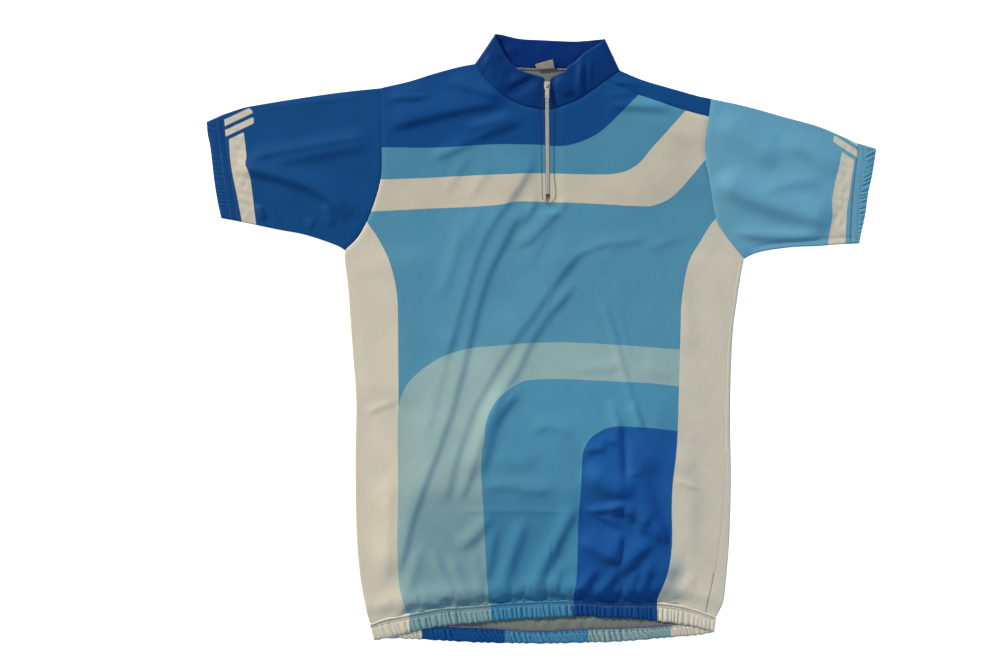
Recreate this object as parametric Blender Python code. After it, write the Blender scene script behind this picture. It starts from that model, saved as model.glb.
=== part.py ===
"""Cycling jersey with short sleeves and a half zip, laid flat with its front up.

Each cloth piece is a closed solid of its own and stands GAP from the piece it is sewn to.
Right and left are the wearer's: the right sleeve points to -X and the collar to +Y.
The tables are in millimetres; the meshes are made in metres.
"""
import bpy
import bmesh
import numpy as np
from mathutils import Vector, geometry

MM = 0.001
WALL = 1.2           # knit cloth
COLLAR_WALL = 1.5    # collar, two layers of the same knit
GAP = 0.3            # clear space between two sewn pieces
FLAT = WALL / 2      # middle of the lower layer's wall, which lies on the floor
LEVEL = 3.0          # middle of the upper layer's wall at a turned edge
LOWEST = 2.15        # the upper layer's wall comes no lower than this
PUFF = 1.3           # how much higher the upper layer lies away from the edges
EDGE_SOFT = 14.0     # distance over which the folds run out towards a turned edge
LIP_UNDER = 9.0      # front panel turned under along the right side

ZIP_TOP = (7.3, 308.6)
ZIP_FOOT = (8.4, 173.6)
ZIP_LEVEL = 3.5      # the front panel beside the zip
SLIT_HALF = 2.7
SLIT_FOOT = 165.5
TAPE_HALF, TAPE_THICK = 10.0, 0.6
COIL_HALF, COIL_THICK = 2.2, 1.5
COLLAR_RISE = 1.6    # the collar's ends rise by this from the neck seam to the top edge

SLIDER = dict(half=3.5, nose=4.0, tail=5.0, plate=1.2, post_half=1.1, post_long=2.2)
BRIDGE = dict(reach=1.9, height=2.6, bar=0.9, half=0.8)
PULL = dict(length=15.6, half=2.5, thick=1.0, bar=0.5, eye_long=3.0, eye_half=1.35, hole=0.9)
STOP = dict(half=2.1, long=2.2, thick=1.7)

HEM_FRONT_GATHERS, HEM_BACK_GATHERS, CUFF_GATHERS = 60, 50, 16
HEM_UNDER = 3.15     # underside of the front casing, clear of the back one
HEM_THICK = 2.5
CUFF_WALL = 1.9
GATHER = 0.45        # half the height of a gather

# Outline seen from above, x to the wearer's left, y towards the collar.
SHOULDER_R = ((-80.8, 335.1), (-101.3, 331.2), (-130.5, 323.3), (-157.4, 314.8), (-174.5, 310.5),
              (-196.7, 305.6))
SHOULDER_L = ((96.2, 327.0), (123.2, 315.8), (147.6, 308.4), (164.7, 303.6), (191.5, 296.0),
              (207.4, 292.8))
SEAM_R = ((-70.6, 319.6), (-104.9, 307.4), (-147.6, 294.0), (-194.8, 281.2))
SEAM_L = ((79.5, 315.6), (98.0, 305.4), (118.9, 297.1), (175.7, 278.2), (204.6, 270.5))
ARM_R = ((-196.7, 305.6), (-194.8, 281.2), (-193.9, 256.0), (-194.0, 231.7), (-195.3, 195.3),
         (-206.5, 156.2), (-221.9, 125.3), (-239.2, 107.6))
ARM_L = ((207.4, 292.8), (204.6, 270.5), (201.5, 252.0), (199.8, 237.0), (200.6, 215.0),
         (206.2, 188.0), (213.1, 148.4), (223.7, 127.4), (247.6, 97.2))
SIDE_R = ((-239.2, 107.6), (-239.8, 95.8), (-235.5, 59.2), (-233.0, 22.6), (-229.4, -26.2),
          (-225.9, -75.0), (-226.9, -148.2), (-225.7, -233.6), (-222.0, -282.4), (-218.4, -306.8),
          (-213.5, -331.2), (-209.0, -349.5))
SIDE_L = ((247.6, 97.2), (243.6, 77.0), (239.1, 47.0), (234.2, 10.4), (231.8, -38.4),
          (230.8, -99.4), (231.8, -172.6), (230.0, -240.0), (226.9, -282.4), (223.3, -315.0),
          (219.0, -329.0), (213.8, -340.1))
SIDE_SEAM_L = ((241.4, 92.0), (237.6, 72.0), (233.4, 40.0), (228.6, 5.0), (226.0, -40.0),
               (224.4, -99.4), (224.0, -172.6), (218.0, -240.0), (211.8, -282.4), (206.4, -309.0),
               (203.2, -322.0), (201.4, -335.6))
NECK_FRONT_R = ((-70.6, 319.6), (-59.7, 308.0), (-45.1, 295.5), (-35.9, 290.2), (-18.7, 283.5),
                (-1.5, 280.2), (4.7, 279.7))
NECK_FRONT_L = ((79.5, 315.6), (69.4, 307.9), (59.4, 300.7), (47.5, 292.8), (32.9, 286.2),
                (17.1, 281.0), (10.1, 279.8))
NECK_BACK = ((-80.8, 335.1), (-50.0, 332.2), (-20.0, 330.4), (4.9, 329.6), (35.4, 329.8),
             (66.0, 328.4), (96.2, 327.0))
TOP_R = ((-196.7, 305.6), (-247.7, 300.1), (-306.2, 291.6), (-350.1, 284.3), (-364.8, 281.2),
         (-386.7, 273.9))
TOP_L = ((207.4, 292.8), (250.1, 283.6), (294.0, 271.4), (337.9, 259.2), (367.2, 247.0),
         (386.7, 238.6))
UNDER_R = ((-239.2, 107.6), (-247.7, 112.8), (-267.2, 120.2), (-291.6, 127.5), (-318.4, 132.4),
           (-347.7, 138.5), (-369.1, 143.0))
UNDER_L = ((247.6, 97.2), (261.1, 103.7), (279.4, 108.0), (308.7, 111.6), (337.9, 112.8),
           (367.2, 115.0), (377.0, 115.4))
CUFF_SEAM_R = ((-386.7, 273.9), (-384.4, 245.8), (-380.3, 216.5), (-375.8, 188.1), (-369.1, 143.0))
CUFF_SEAM_L = ((386.7, 238.6), (386.1, 222.4), (382.5, 193.0), (379.3, 161.6), (377.0, 115.4))
CUFF_EDGE_R = ((-407.9, 264.6), (-406.3, 248.3), (-403.0, 231.7), (-398.6, 193.6), (-394.7, 169.0),
               (-389.9, 146.8))
CUFF_EDGE_L = ((408.7, 231.9), (403.5, 199.3), (398.9, 178.7), (395.0, 151.0), (390.4, 129.9),
               (387.7, 116.0))
HEM_FRONT_TOP = ((-209.0, -349.5), (-191.7, -343.7), (-164.3, -339.4), (-122.4, -331.0),
                 (-98.8, -329.3), (-63.4, -326.1), (-23.9, -323.1), (15.5, -321.8), (47.6, -322.2),
                 (78.0, -325.0), (113.0, -324.6), (141.0, -324.4), (169.0, -326.8), (193.5, -333.1),
                 (213.8, -340.1))
HEM_FRONT_FOOT = ((-203.5, -368.9), (-184.8, -365.0), (-160.9, -359.0), (-135.2, -353.4),
                  (-109.6, -349.7), (-86.6, -347.5), (-60.4, -345.3), (-23.9, -342.2),
                  (15.5, -340.3), (59.8, -338.7), (78.0, -340.7), (113.0, -341.8),
                  (141.0, -344.8), (187.6, -351.7), (211.1, -358.8))
HEM_BACK_TOP = ((-203.0, -350.6), (-146.4, -350.6), (-98.8, -352.3), (-58.3, -353.9),
                (-7.8, -357.0), (32.7, -355.4), (59.8, -353.9), (94.3, -353.2), (122.2, -352.0),
                (152.6, -350.0), (211.0, -343.0))
HEM_BACK_FOOT = ((-201.5, -367.4), (-179.7, -366.4), (-146.4, -367.6), (-86.6, -371.0),
                 (-44.2, -372.1), (7.3, -372.7), (59.8, -371.4), (94.3, -370.5), (141.0, -366.6),
                 (192.4, -362.3), (210.6, -358.4))

# Collar seen from above: its top edge and the two lines on which it is folded flat.
COLLAR_TOP_R = ((4.6, 313.4), (1.2, 318.6), (-18.7, 324.9), (-29.3, 330.2), (-39.8, 340.5),
                (-49.0, 356.4), (-56.6, 372.0))
COLLAR_TOP_L = ((10.0, 313.4), (13.6, 318.6), (27.7, 325.0), (34.3, 332.6), (42.2, 337.8),
                (52.8, 348.4), (66.0, 357.0), (78.6, 365.8))
COLLAR_TOP_BACK = ((-56.6, 372.0), (-47.7, 370.9), (-37.2, 368.2), (-23.9, 365.6), (-0.1, 364.3),
                   (36.8, 362.7), (52.8, 363.2), (78.6, 365.8))
COLLAR_STAND = 7.6   # height of the collar's top edge in front, at its folds

# Folds of the upper layer: rise in the middle, half width, and the line it follows.
FOLDS = (
    ("long trough", -2.6, 7, ((-6, 213), (-33, 171), (-79, 106), (-100, 30), (-124, -42), (-164, -182))),
    ("long ridge", 3.6, 7, ((2, 190), (-40, 132), (-78, 44), (-101, -20), (-136, -110), (-158, -182))),
    ("blue trough", -2.8, 6, ((-28, 147), (-60, 82), (-84, -12), (-105, -84), (-151, -201), (-168, -265))),
    ("blue ridge", 3.2, 8, ((-20, 128), (-48, 70), (-66, -10), (-92, -90), (-136, -188), (-155, -240))),
    ("second trough", -2.4, 7, ((51, 99), (12, 53), (-33, 0), (-79, -84), (-115, -197))),
    ("second ridge", 3.0, 8, ((62, 80), (24, 44), (-20, -14), (-62, -92), (-100, -190))),
    ("inner trough", -2.0, 6, ((38, 64), (-4, 3), (-49, -84), (-94, -190), (-105, -253))),
    ("zip foot ridge", 2.2, 9, ((34, 156), (4, 128), (-12, 92), (-34, 62))),
    ("zip foot trough", -1.8, 6, ((33, 143), (0, 108), (-18, 64))),
    ("chest trough", -1.6, 7, ((80, 99), (54, 78))),
    ("chest ridge", 1.8, 12, ((67, 79), (95, -8), (110, -53))),
    ("right chest swell", 1.8, 26, ((120, 170), (130, 60), (125, -20))),
    ("waist dent", -1.5, 9, ((20, -46), (60, -44), (98, -46))),
    ("low trough", -2.2, 9, ((46, -182), (34, -224), (5, -272), (-4, -307))),
    ("low swell", 2.0, 12, ((-62, -130), (-30, -139), (2, -134))),
    ("low swell right", 2.2, 14, ((20, -236), (-24, -270), (-24, -306))),
    ("pocket crease", -1.4, 5, ((-71, -212), (-10, -212), (46, -210))),
    ("block valley", -2.0, 7, ((95, -118), (101, -150), (106, -182))),
    ("block ridge", 2.6, 6, ((54, -208), (84, -203), (106, -200))),
    ("block fold", -2.2, 7, ((106, -212), (122, -230), (144, -242))),
    ("block peak", 2.4, 9, ((128, -222), (118, -246), (92, -262))),
    ("hem pucker", 1.8, 9, ((126, -280), (120, -312))),
    ("side fold", -1.8, 8, ((178, -76), (190, -110), (198, -145))),
    ("aqua v one", -1.8, 6, ((-132, -253), (-115, -284), (-94, -310))),
    ("aqua v two", 2.0, 7, ((-122, -248), (-100, -276), (-76, -304))),
    ("side crease", -1.6, 6, ((-200, -87), (-177, -78), (-150, -78))),
    ("yoke trough", -2.2, 7, ((-48, 284), (-100, 275), (-152, 265), (-188, 251))),
    ("yoke ridge", 2.6, 8, ((-40, 274), (-96, 262), (-150, 250), (-184, 238))),
    ("neck trough", -1.8, 6, ((-115, 317), (-94, 306), (-64, 298), (-42, 290))),
    ("zip side fold", -2.0, 7, ((-12, 268), (-64, 251), (-106, 221), (-111, 203))),
    ("zip side ridge", 2.2, 8, ((-10, 256), (-62, 238), (-94, 210))),
    ("right yoke fold", -1.6, 8, ((74, 280), (120, 278), (164, 276))),
    ("armpit fold", -2.6, 7, ((-352, 202), (-314, 195), (-270, 174), (-246, 158), (-238, 142))),
    ("armpit ridge", 3.6, 9, ((-320, 214), (-270, 190), (-224, 163), (-214, 148))),
    ("sleeve trough r", -2.0, 7, ((-357, 213), (-316, 230), (-252, 238), (-199, 247))),
    ("sleeve ridge r", 2.2, 8, ((-340, 204), (-290, 216), (-240, 226), (-205, 232))),
    ("sleeve trough l", -2.6, 10, ((180, 186), (238, 159), (296, 151), (349, 130))),
    ("sleeve ridge l", 3.2, 11, ((196, 152), (226, 136), (262, 140), (300, 134))),
    ("sleeve top fold l", -2.0, 9, ((262, 221), (311, 224), (346, 201))),
    ("sleeve top ridge l", 2.4, 12, ((232, 206), (286, 196), (330, 190))),
)
COLLAR_FOLDS = (
    ("right crease", -2.4, 5, ((-45, 297), (-30, 305), (-7, 318))),
    ("right crest", 1.8, 6, ((-58, 322), (-40, 326), (-22, 322))),
    ("left ridge", 2.2, 5, ((50, 333), (50, 312), (52, 296))),
    ("left valley", -2.0, 5, ((40, 328), (34, 310), (30, 292))),
)

COLOURS = {
    "printed_knit": (0.070, 0.250, 0.340), "royal_knit": (0.010, 0.048, 0.160),
    "light_blue_knit": (0.110, 0.290, 0.400), "zip_tape": (0.012, 0.050, 0.170),
    "zip_coil": (0.480, 0.420, 0.340), "zip_metal": (0.330, 0.300, 0.270),
    "label_cloth": (0.560, 0.540, 0.500),
}


def fair(points, count=None, step=8.0):
    """Evenly spaced points on a smooth curve through the given ones."""
    p = np.asarray(points, float)
    q = np.vstack((2 * p[0] - p[1], p, 2 * p[-1] - p[-2]))
    t = np.linspace(0, 1, 12, endpoint=False)[:, None]
    spans = [0.5 * (2 * q[i + 1] + (q[i + 2] - q[i]) * t
                    + (2 * q[i] - 5 * q[i + 1] + 4 * q[i + 2] - q[i + 3]) * t ** 2
                    + (3 * q[i + 1] - q[i] - 3 * q[i + 2] + q[i + 3]) * t ** 3)
             for i in range(len(p) - 1)]
    dense = np.vstack(spans + [p[-1:]])
    run = np.concatenate(([0], np.cumsum(np.linalg.norm(np.diff(dense, axis=0), axis=1))))
    count = count or max(3, int(round(run[-1] / step)) + 1)
    at = np.linspace(0, run[-1], count)
    return np.stack([np.interp(at, run, dense[:, k]) for k in range(dense.shape[1])], axis=1)


def moved(line, distance):
    """The line moved sideways, to the left of its own direction where the distance is positive."""
    way = np.gradient(line, axis=0)
    way /= np.linalg.norm(way, axis=1, keepdims=True)
    return line + distance * np.stack((-way[:, 1], way[:, 0]), axis=1)


def beside(xy, line):
    """Distance of every point from a line, and where along it the nearest place is, 0 to 1."""
    a, ab = line[:-1], np.diff(line, axis=0)
    t = np.clip(((xy[:, None] - a) * ab).sum(-1) / (ab ** 2).sum(-1), 0, 1)
    away = np.linalg.norm(xy[:, None] - (a + t[..., None] * ab), axis=-1)
    nearest, rows = away.argmin(1), np.arange(len(xy))
    length = np.linalg.norm(ab, axis=1)
    start = np.concatenate(([0], np.cumsum(length)[:-1]))
    along = (start[nearest] + t[rows, nearest] * length[nearest]) / length.sum()
    return away[rows, nearest], along


def ramp(value):
    """Smooth step from 0 to 1."""
    value = np.clip(value, 0, 1)
    return value * value * (3 - 2 * value)


def folded(xy, table):
    """Sum of the folds at every point: a bell across each line, running out at its two ends."""
    total = np.zeros(len(xy))
    for _, rise, half, line in table:
        away, along = beside(xy, fair(line, 18))
        total += rise * np.exp(-(away / half) ** 2) * ramp(along / 0.25) * ramp((1 - along) / 0.25)
    return total


def turned_edges():
    """The outline where the cloth turns from the upper layer to the lower one."""
    right = (fair(SIDE_R)[::-1], fair(UNDER_R), fair(CUFF_SEAM_R)[::-1], fair(TOP_R)[::-1],
             fair(SHOULDER_R)[::-1])
    left = (fair(SIDE_L)[::-1], fair(UNDER_L), fair(CUFF_SEAM_L)[::-1], fair(TOP_L)[::-1],
            fair(SHOULDER_L)[::-1])
    return [np.vstack([right[0]] + [line[1:] for line in right[1:]]),
            np.vstack([left[0]] + [line[1:] for line in left[1:]])]


def upper_level(xy):
    """Height of the middle of the upper layer's wall: a low pillow with the folds on it, kept
    above LOWEST and even beside the zip."""
    xy = np.asarray(xy, float)
    edge = np.minimum(*[beside(xy, line)[0] for line in EDGES])
    free = 1 - np.exp(-(edge / EDGE_SOFT) ** 2)
    z = LEVEL + PUFF * (1 - np.exp(-edge / 40)) + free * folded(xy, FOLDS) - LOWEST
    z = LOWEST + 0.5 * (z + np.sqrt(z * z + 0.4))
    off_zip = np.maximum(np.abs(xy[:, 0] - zip_x(xy[:, 1])) - 12, SLIT_FOOT - 6 - xy[:, 1])
    share = ramp(off_zip / 12)
    return share * z + (1 - share) * ZIP_LEVEL


def zip_x(y):
    """Middle of the zip at a given y."""
    slope = (ZIP_FOOT[0] - ZIP_TOP[0]) / (ZIP_FOOT[1] - ZIP_TOP[1])
    return ZIP_TOP[0] + slope * (y - ZIP_TOP[1])


def zip_level(y):
    """Height of the cloth beside the zip: even on the front, rising up the collar."""
    return ZIP_LEVEL + COLLAR_RISE * ramp((y - 276.0) / 40.0)


def make(name, points, faces, slot):
    """Object from points in millimetres, closed and facing out."""
    mesh = bpy.data.meshes.new(name)
    bm = bmesh.new()
    corners = [bm.verts.new(Vector(p) * MM) for p in points]
    for face in faces:
        bm.faces.new([corners[k] for k in face])
    bmesh.ops.triangulate(bm, faces=bm.faces)
    bmesh.ops.recalc_face_normals(bm, faces=bm.faces)
    bm.to_mesh(mesh)
    bm.free()
    thing = bpy.data.objects.new(name, mesh)
    thing.data.materials.append(material(slot))
    bpy.data.collections["cycling_jersey"].objects.link(thing)
    return thing


def material(slot):
    """Principled material for a slot, made once."""
    found = bpy.data.materials.get(slot)
    if found:
        return found
    made = bpy.data.materials.new(slot)
    made.use_nodes = True
    shader = made.node_tree.nodes["Principled BSDF"]
    shader.inputs["Base Color"].default_value = (*COLOURS[slot], 1.0)
    shader.inputs["Roughness"].default_value = 0.35 if slot == "zip_metal" else 0.85
    shader.inputs["Metallic"].default_value = 1.0 if slot == "zip_metal" else 0.0
    return made


def shell(points, faces, wall):
    """Closed wall round a middle surface: a skin half a wall to each side, joined at the rims,
    which stand upright so that they come no nearer to the next piece."""
    bm = bmesh.new()
    corners = [bm.verts.new(p) for p in points]
    for face in faces:
        bm.faces.new([corners[k] for k in face])
    bmesh.ops.recalc_face_normals(bm, faces=bm.faces)
    bm.normal_update()
    bm.verts.index_update()
    count = len(corners)
    half = np.array([v.normal for v in corners])
    rim = {}
    for edge in bm.edges:
        if edge.is_boundary:
            a, b = (v.index for v in edge.verts)
            rim.setdefault(a, []).append(b)
            rim.setdefault(b, []).append(a)
    for k, (a, b) in rim.items():
        along = points[b] - points[a]
        flat = np.hypot(along[0], along[1])
        if flat > 0.3 * np.linalg.norm(along):
            across = np.array((-along[1], along[0], 0)) / flat
            half[k] -= across * (half[k] @ across)
            half[k] /= np.linalg.norm(half[k])
    half *= wall / 2
    skins = np.vstack((points + half, points - half))
    solid = []
    for face in bm.faces:
        ring = [v.index for v in face.verts]
        solid += [ring, [k + count for k in reversed(ring)]]
    for edge in bm.edges:
        if edge.is_boundary:
            loop = edge.link_loops[0]
            a, b = loop.vert.index, loop.link_loop_next.vert.index
            solid.append([b, a, a + count, b + count])
    bm.free()
    return skins, solid


def inside(xy, loop):
    """Which points lie inside the closed line."""
    x, y = xy[:, 0, None], xy[:, 1, None]
    ax, ay = loop[:, 0], loop[:, 1]
    bx, by = np.roll(ax, -1), np.roll(ay, -1)
    rise = np.where(by == ay, 1e-9, by - ay)
    crossed = ((ay > y) != (by > y)) & (x < (bx - ax) * (y - ay) / rise + ax)
    return crossed.sum(1) % 2 == 1


def spread(loop, wanted, spacing, clear):
    """Those of the wanted points that lie inside the loop, in their order, none within its own
    spacing of one taken before and none within clear of the loop."""
    wanted, spacing = np.asarray(wanted, float), np.asarray(spacing, float)
    ring = np.vstack((loop, loop[:1]))
    keep = inside(wanted, loop) & (beside(wanted, ring)[0] > clear)
    wanted, spacing = wanted[keep], spacing[keep]
    taken = np.zeros((0, 2))
    for point, near in zip(wanted, spacing):
        if not len(taken) or np.linalg.norm(taken - point, axis=1).min() > near:
            taken = np.vstack((taken, point))
    return taken


def fold_points(table, step):
    """Points on the middle of each fold and on both its flanks, with their spacing."""
    points, spacing = [], []
    for share in (0.0, 1.0, -1.0):
        for _, _, half, line in table:
            row = moved(fair(line, step=step), share * half * 1.15)
            points.append(row)
            spacing.append(np.full(len(row), step * 0.55))
    return np.vstack(points), np.concatenate(spacing)


def field(box, step):
    """Staggered grid of points over a box."""
    (x0, x1), (y0, y1) = box
    rows = np.arange(y0, y1, step * 0.866)
    grid = [np.stack((np.arange(x0, x1, step) + (k % 2) * step / 2,
                      np.full(len(np.arange(x0, x1, step)), y)), axis=1)
            for k, y in enumerate(rows)]
    return np.vstack(grid)


def tiled(loop, points):
    """Triangles over a closed line and the points inside it; the line's points come first."""
    every = np.vstack((loop, points))
    rim = [(k, (k + 1) % len(loop)) for k in range(len(loop))]
    spots, _, faces, origin, _, _ = geometry.delaunay_2d_cdt(
        [Vector(p) for p in every], rim, [], 1, 1e-5)
    order = np.zeros(len(spots), int)
    for k, sources in enumerate(origin):
        order[k] = sources[0]
    return every, [[int(order[k]) for k in face] for face in faces]


def roll_line(edge, seam, start, end):
    """Where a lip starts to roll, so that the roll's outside touches the outline, and its way."""
    way = edge - seam
    way /= np.linalg.norm(way, axis=1, keepdims=True)
    radius = np.abs(np.broadcast_to(end, len(edge)) - start) / 2
    return edge - way * (radius + WALL / 2)[:, None], way


def add_lip(points, faces, first, line, way, start, end, seam, level):
    """Carries a sheet on over a half turn from height start to height end, then back in to the
    seam. The sheet's own edge points begin at index first."""
    count = len(line)
    radius = (end - start) / 2
    rows = []
    for turn in np.radians((60, 120, 180)):
        plan = line + way * (np.abs(radius) * np.sin(turn))[:, None]
        rows.append(np.column_stack((plan, start + radius * (1 - np.cos(turn)))))
    rows.append(np.column_stack((seam, level(seam))))
    before = list(range(first, first + count))
    for row in rows:
        base = len(points)
        points = np.vstack((points, row))
        after = list(range(base, base + count))
        faces = faces + [[before[k], before[k + 1], after[k + 1], after[k]]
                         for k in range(count - 1)]
        before = after
    return points, faces


def low(xy):
    """Height of the middle of the lower layer's wall."""
    return np.full(len(xy), FLAT)


def build_back():
    """Back panel: flat on the floor, turned up over both shoulders and along the left side."""
    shoulders = []
    for edge, seam in ((SHOULDER_R, SEAM_R), (SHOULDER_L, SEAM_L)):
        edge, seam = fair(edge, 11), fair(seam, 11)
        line, way = roll_line(edge, seam, FLAT, LEVEL)
        shoulders.append((line, way, seam))
    side_edge, side_seam = fair(SIDE_L, 28), fair(SIDE_SEAM_L, 28)
    side_line, side_way = roll_line(side_edge, side_seam, FLAT, LEVEL)
    arm_r, arm_l = fair(ARM_R, 19)[::3], fair(ARM_L, 19)[::3]
    inner_side = moved(fair(SIDE_R, 28), LIP_UNDER + GAP)
    right, left = shoulders
    neck = fair(NECK_BACK, 16)
    hem = moved(fair(HEM_BACK_TOP, 30), GAP)
    pieces = [right[0][::-1], neck[1:-1], left[0], arm_l[1:-1], side_line, hem[::-1][1:-1],
              inner_side[::-1], arm_r[::-1][1:-1]]
    starts = np.cumsum([0] + [len(p) for p in pieces])
    loop = np.vstack(pieces)
    spots = field(((-235, 240), (-345, 330)), 48.0)
    loose = spread(loop, spots, np.full(len(spots), 1.0), 14.0)
    plan, faces = tiled(loop, loose)
    points = np.column_stack((plan, low(plan)))
    for first, (line, way, seam) in ((starts[0], (right[0][::-1], right[1][::-1], right[2][::-1])),
                                     (starts[2], left), (starts[4], (side_line, side_way, side_seam))):
        top = upper_level(line)
        points, faces = add_lip(points, faces, int(first), line, way, np.full(len(line), FLAT),
                                top, seam, upper_level)
    return make("back", *shell(points, faces, WALL), "printed_knit")


def build_front():
    """Front panel: the folded upper layer, slit for the zip and turned under along one side."""
    side = fair(SIDE_R, 28)
    under = moved(side, LIP_UNDER)
    line, way = roll_line(side, under, FLAT, LEVEL)
    arm_r, arm_l = fair(ARM_R, 19), fair(ARM_L, 19)
    seam_r = moved(fair(SEAM_R, 11), GAP)
    seam_l = moved(fair(SEAM_L, 11), -GAP)
    neck_r, neck_l = fair(NECK_FRONT_R, 13), fair(NECK_FRONT_L, 12)
    slit_y = np.linspace(neck_r[-1, 1], SLIT_FOOT + 2.6, 14)
    slit_r = np.column_stack((zip_x(slit_y) - SLIT_HALF, slit_y))
    slit_l = np.column_stack((zip_x(slit_y) + SLIT_HALF, slit_y))[::-1]
    foot = np.array([[zip_x(SLIT_FOOT), SLIT_FOOT]])
    side_seam = moved(fair(SIDE_SEAM_L, 28), -GAP)
    hem = moved(fair(HEM_FRONT_TOP, 40), GAP)
    hem = hem[(hem[:, 0] > line[-1, 0] + 4) & (hem[:, 0] < side_seam[-1, 0] - 4)]
    side_seam[-1, 1] = hem[-1, 1] - 1.0
    pieces = [line, hem, side_seam[::-1], arm_l[3:-1][::-1], seam_l[::-1], neck_l[1:-1],
              slit_l[::-1][:1], slit_l[::-1][1:], foot, slit_r[::-1], neck_r[::-1][1:-1], seam_r,
              arm_r[3:-1]]
    loop = np.vstack(pieces)
    wanted, spacing = fold_points(FOLDS, 14.0)
    fill = field(((-235, 240), (-345, 320)), 24.0)
    loose = spread(loop, np.vstack((wanted, fill)),
                   np.concatenate((spacing, np.full(len(fill), 11.0))), 5.0)
    plan, faces = tiled(loop, loose)
    points = np.column_stack((plan, upper_level(plan)))
    top = points[:len(line), 2].copy()
    points, faces = add_lip(points, faces, 0, line, way, top, np.full(len(line), FLAT), under, low)
    return make("front", *shell(points, faces, WALL), "printed_knit")


def patch(near, far, one, two, rows):
    """Plan points filled in between four edges: near and far run across, one and two along."""
    across = len(near)
    one, two = fair(one, rows), fair(two, rows)
    u = np.linspace(0, 1, rows)[:, None, None]
    v = np.linspace(0, 1, across)[None, :, None]
    return ((1 - u) * near[None] + u * far[None] + (1 - v) * one[:, None] + v * two[:, None]
            - (1 - u) * (1 - v) * near[0] - (1 - u) * v * near[-1]
            - u * (1 - v) * far[0] - u * v * far[-1])


def flat_tube(plan, level, wall, lower_step):
    """Middle surface of a tube pressed flat: every row of plan points is its upper run, from one
    turned edge to the other, and the lower run comes back along the floor."""
    rings = []
    for row in plan:
        ends = []
        for tip, beside_tip in ((row[0], row[1]), (row[-1], row[-2])):
            way = (tip - beside_tip) / np.linalg.norm(tip - beside_tip)
            height = level(np.array([tip - way * 2]))[0]
            radius = (height - wall / 2) / 2
            ends.append((tip - way * (radius + wall / 2), way, height, radius))
        flat = np.vstack((ends[0][0], row[1:-1], ends[1][0]))
        upper = np.column_stack((flat, level(flat)))
        upper[0, 2], upper[-1, 2] = ends[0][2], ends[1][2]
        back = flat[lower_step:-1:lower_step][::-1]
        lower = np.column_stack((back, np.full(len(back), wall / 2)))
        arcs = []
        for (spot, way, height, radius), turns in ((ends[1], (60, 120, 180)),
                                                   (ends[0], (180, 120, 60))):
            turns = np.radians(turns)
            arcs.append(np.column_stack((spot + way * (radius * np.sin(turns))[:, None],
                                         height - radius * (1 - np.cos(turns)))))
        rings.append(np.vstack((upper, arcs[0], lower, arcs[1])))
    count = len(rings[0])
    faces = [[r * count + k, r * count + (k + 1) % count, (r + 1) * count + (k + 1) % count,
              (r + 1) * count + k] for r in range(len(rings) - 1) for k in range(count)]
    return np.vstack(rings), faces


def build_sleeve(name, arm, cuff_seam, top, under, away, slot):
    """Sleeve: a flattened tube from the armhole to the cuff, with the folds on its upper run."""
    plan = patch(fair(arm, 19), fair(cuff_seam, 19), top, under, 12)
    plan[0, :, 0] += away * 1.6 * GAP
    plan[-1, :, 0] -= away * 1.4 * GAP
    return make(name, *shell(*flat_tube(plan, upper_level, WALL, 3), WALL), slot)


def gathered(base):
    """Level of a cuff: even cloth with a gather on every few millimetres across the tube."""
    def level(xy):
        return np.full(len(xy), base)
    return level


def build_cuff(name, seam, edge, slot):
    """Cuff: the elastic casing at a sleeve's end, a thicker flattened ring with gathers."""
    count = CUFF_GATHERS * 3 + 1
    lines = [fair(seam, count), (fair(seam, count) + fair(edge, count)) / 2, fair(edge, count)]
    points, faces = flat_tube(np.array(lines), gathered(CUFF_WALL * 1.5 + GAP + GATHER * 1.2),
                              CUFF_WALL, 8)
    ring = len(points) // 3
    phase = np.arange(1, count - 1) * 2 * np.pi / 3
    for row, share in enumerate((0.8, 1.0, 0.6)):
        upper = slice(row * ring + 1, row * ring + count - 1)
        uneven = 1 + 0.35 * np.sin(phase * 0.37 + row)
        points[upper, 2] += GATHER * share * uneven * np.cos(phase + 0.5 * row)
    return make(name, *shell(points, faces, CUFF_WALL), slot)


def build_hem(name, top, foot, gathers, under, profile, slot="printed_knit"):
    """Elastic casing along a hem: a solid band whose upper face is gathered. The profile gives
    share of the width, height over the underside, and how much of the gather it takes."""
    count = gathers * 3 + 1
    upper, lower = moved(fair(top, count), -GAP), fair(foot, count)
    phase = np.arange(count) * 2 * np.pi / 3
    uneven = 1 + 0.35 * np.sin(phase * 0.31) * np.cos(phase * 0.173)
    wave = GATHER * uneven * np.cos(phase)
    middle = np.sin(np.linspace(0, np.pi, count))
    rows = []
    for share, height, gather in profile:
        plan = upper + (lower - upper) * share
        rows.append(np.column_stack((plan, under(middle) + height + wave * gather)))
    ring = len(rows)
    points = np.stack(rows, axis=1).reshape(-1, 3)
    faces = [[s * ring + k, s * ring + (k + 1) % ring, (s + 1) * ring + (k + 1) % ring,
              (s + 1) * ring + k] for s in range(count - 1) for k in range(ring)]
    last = (count - 1) * ring
    faces += [list(range(ring)), [last + k for k in reversed(range(ring))]]
    return make(name, points, faces, slot)


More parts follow.
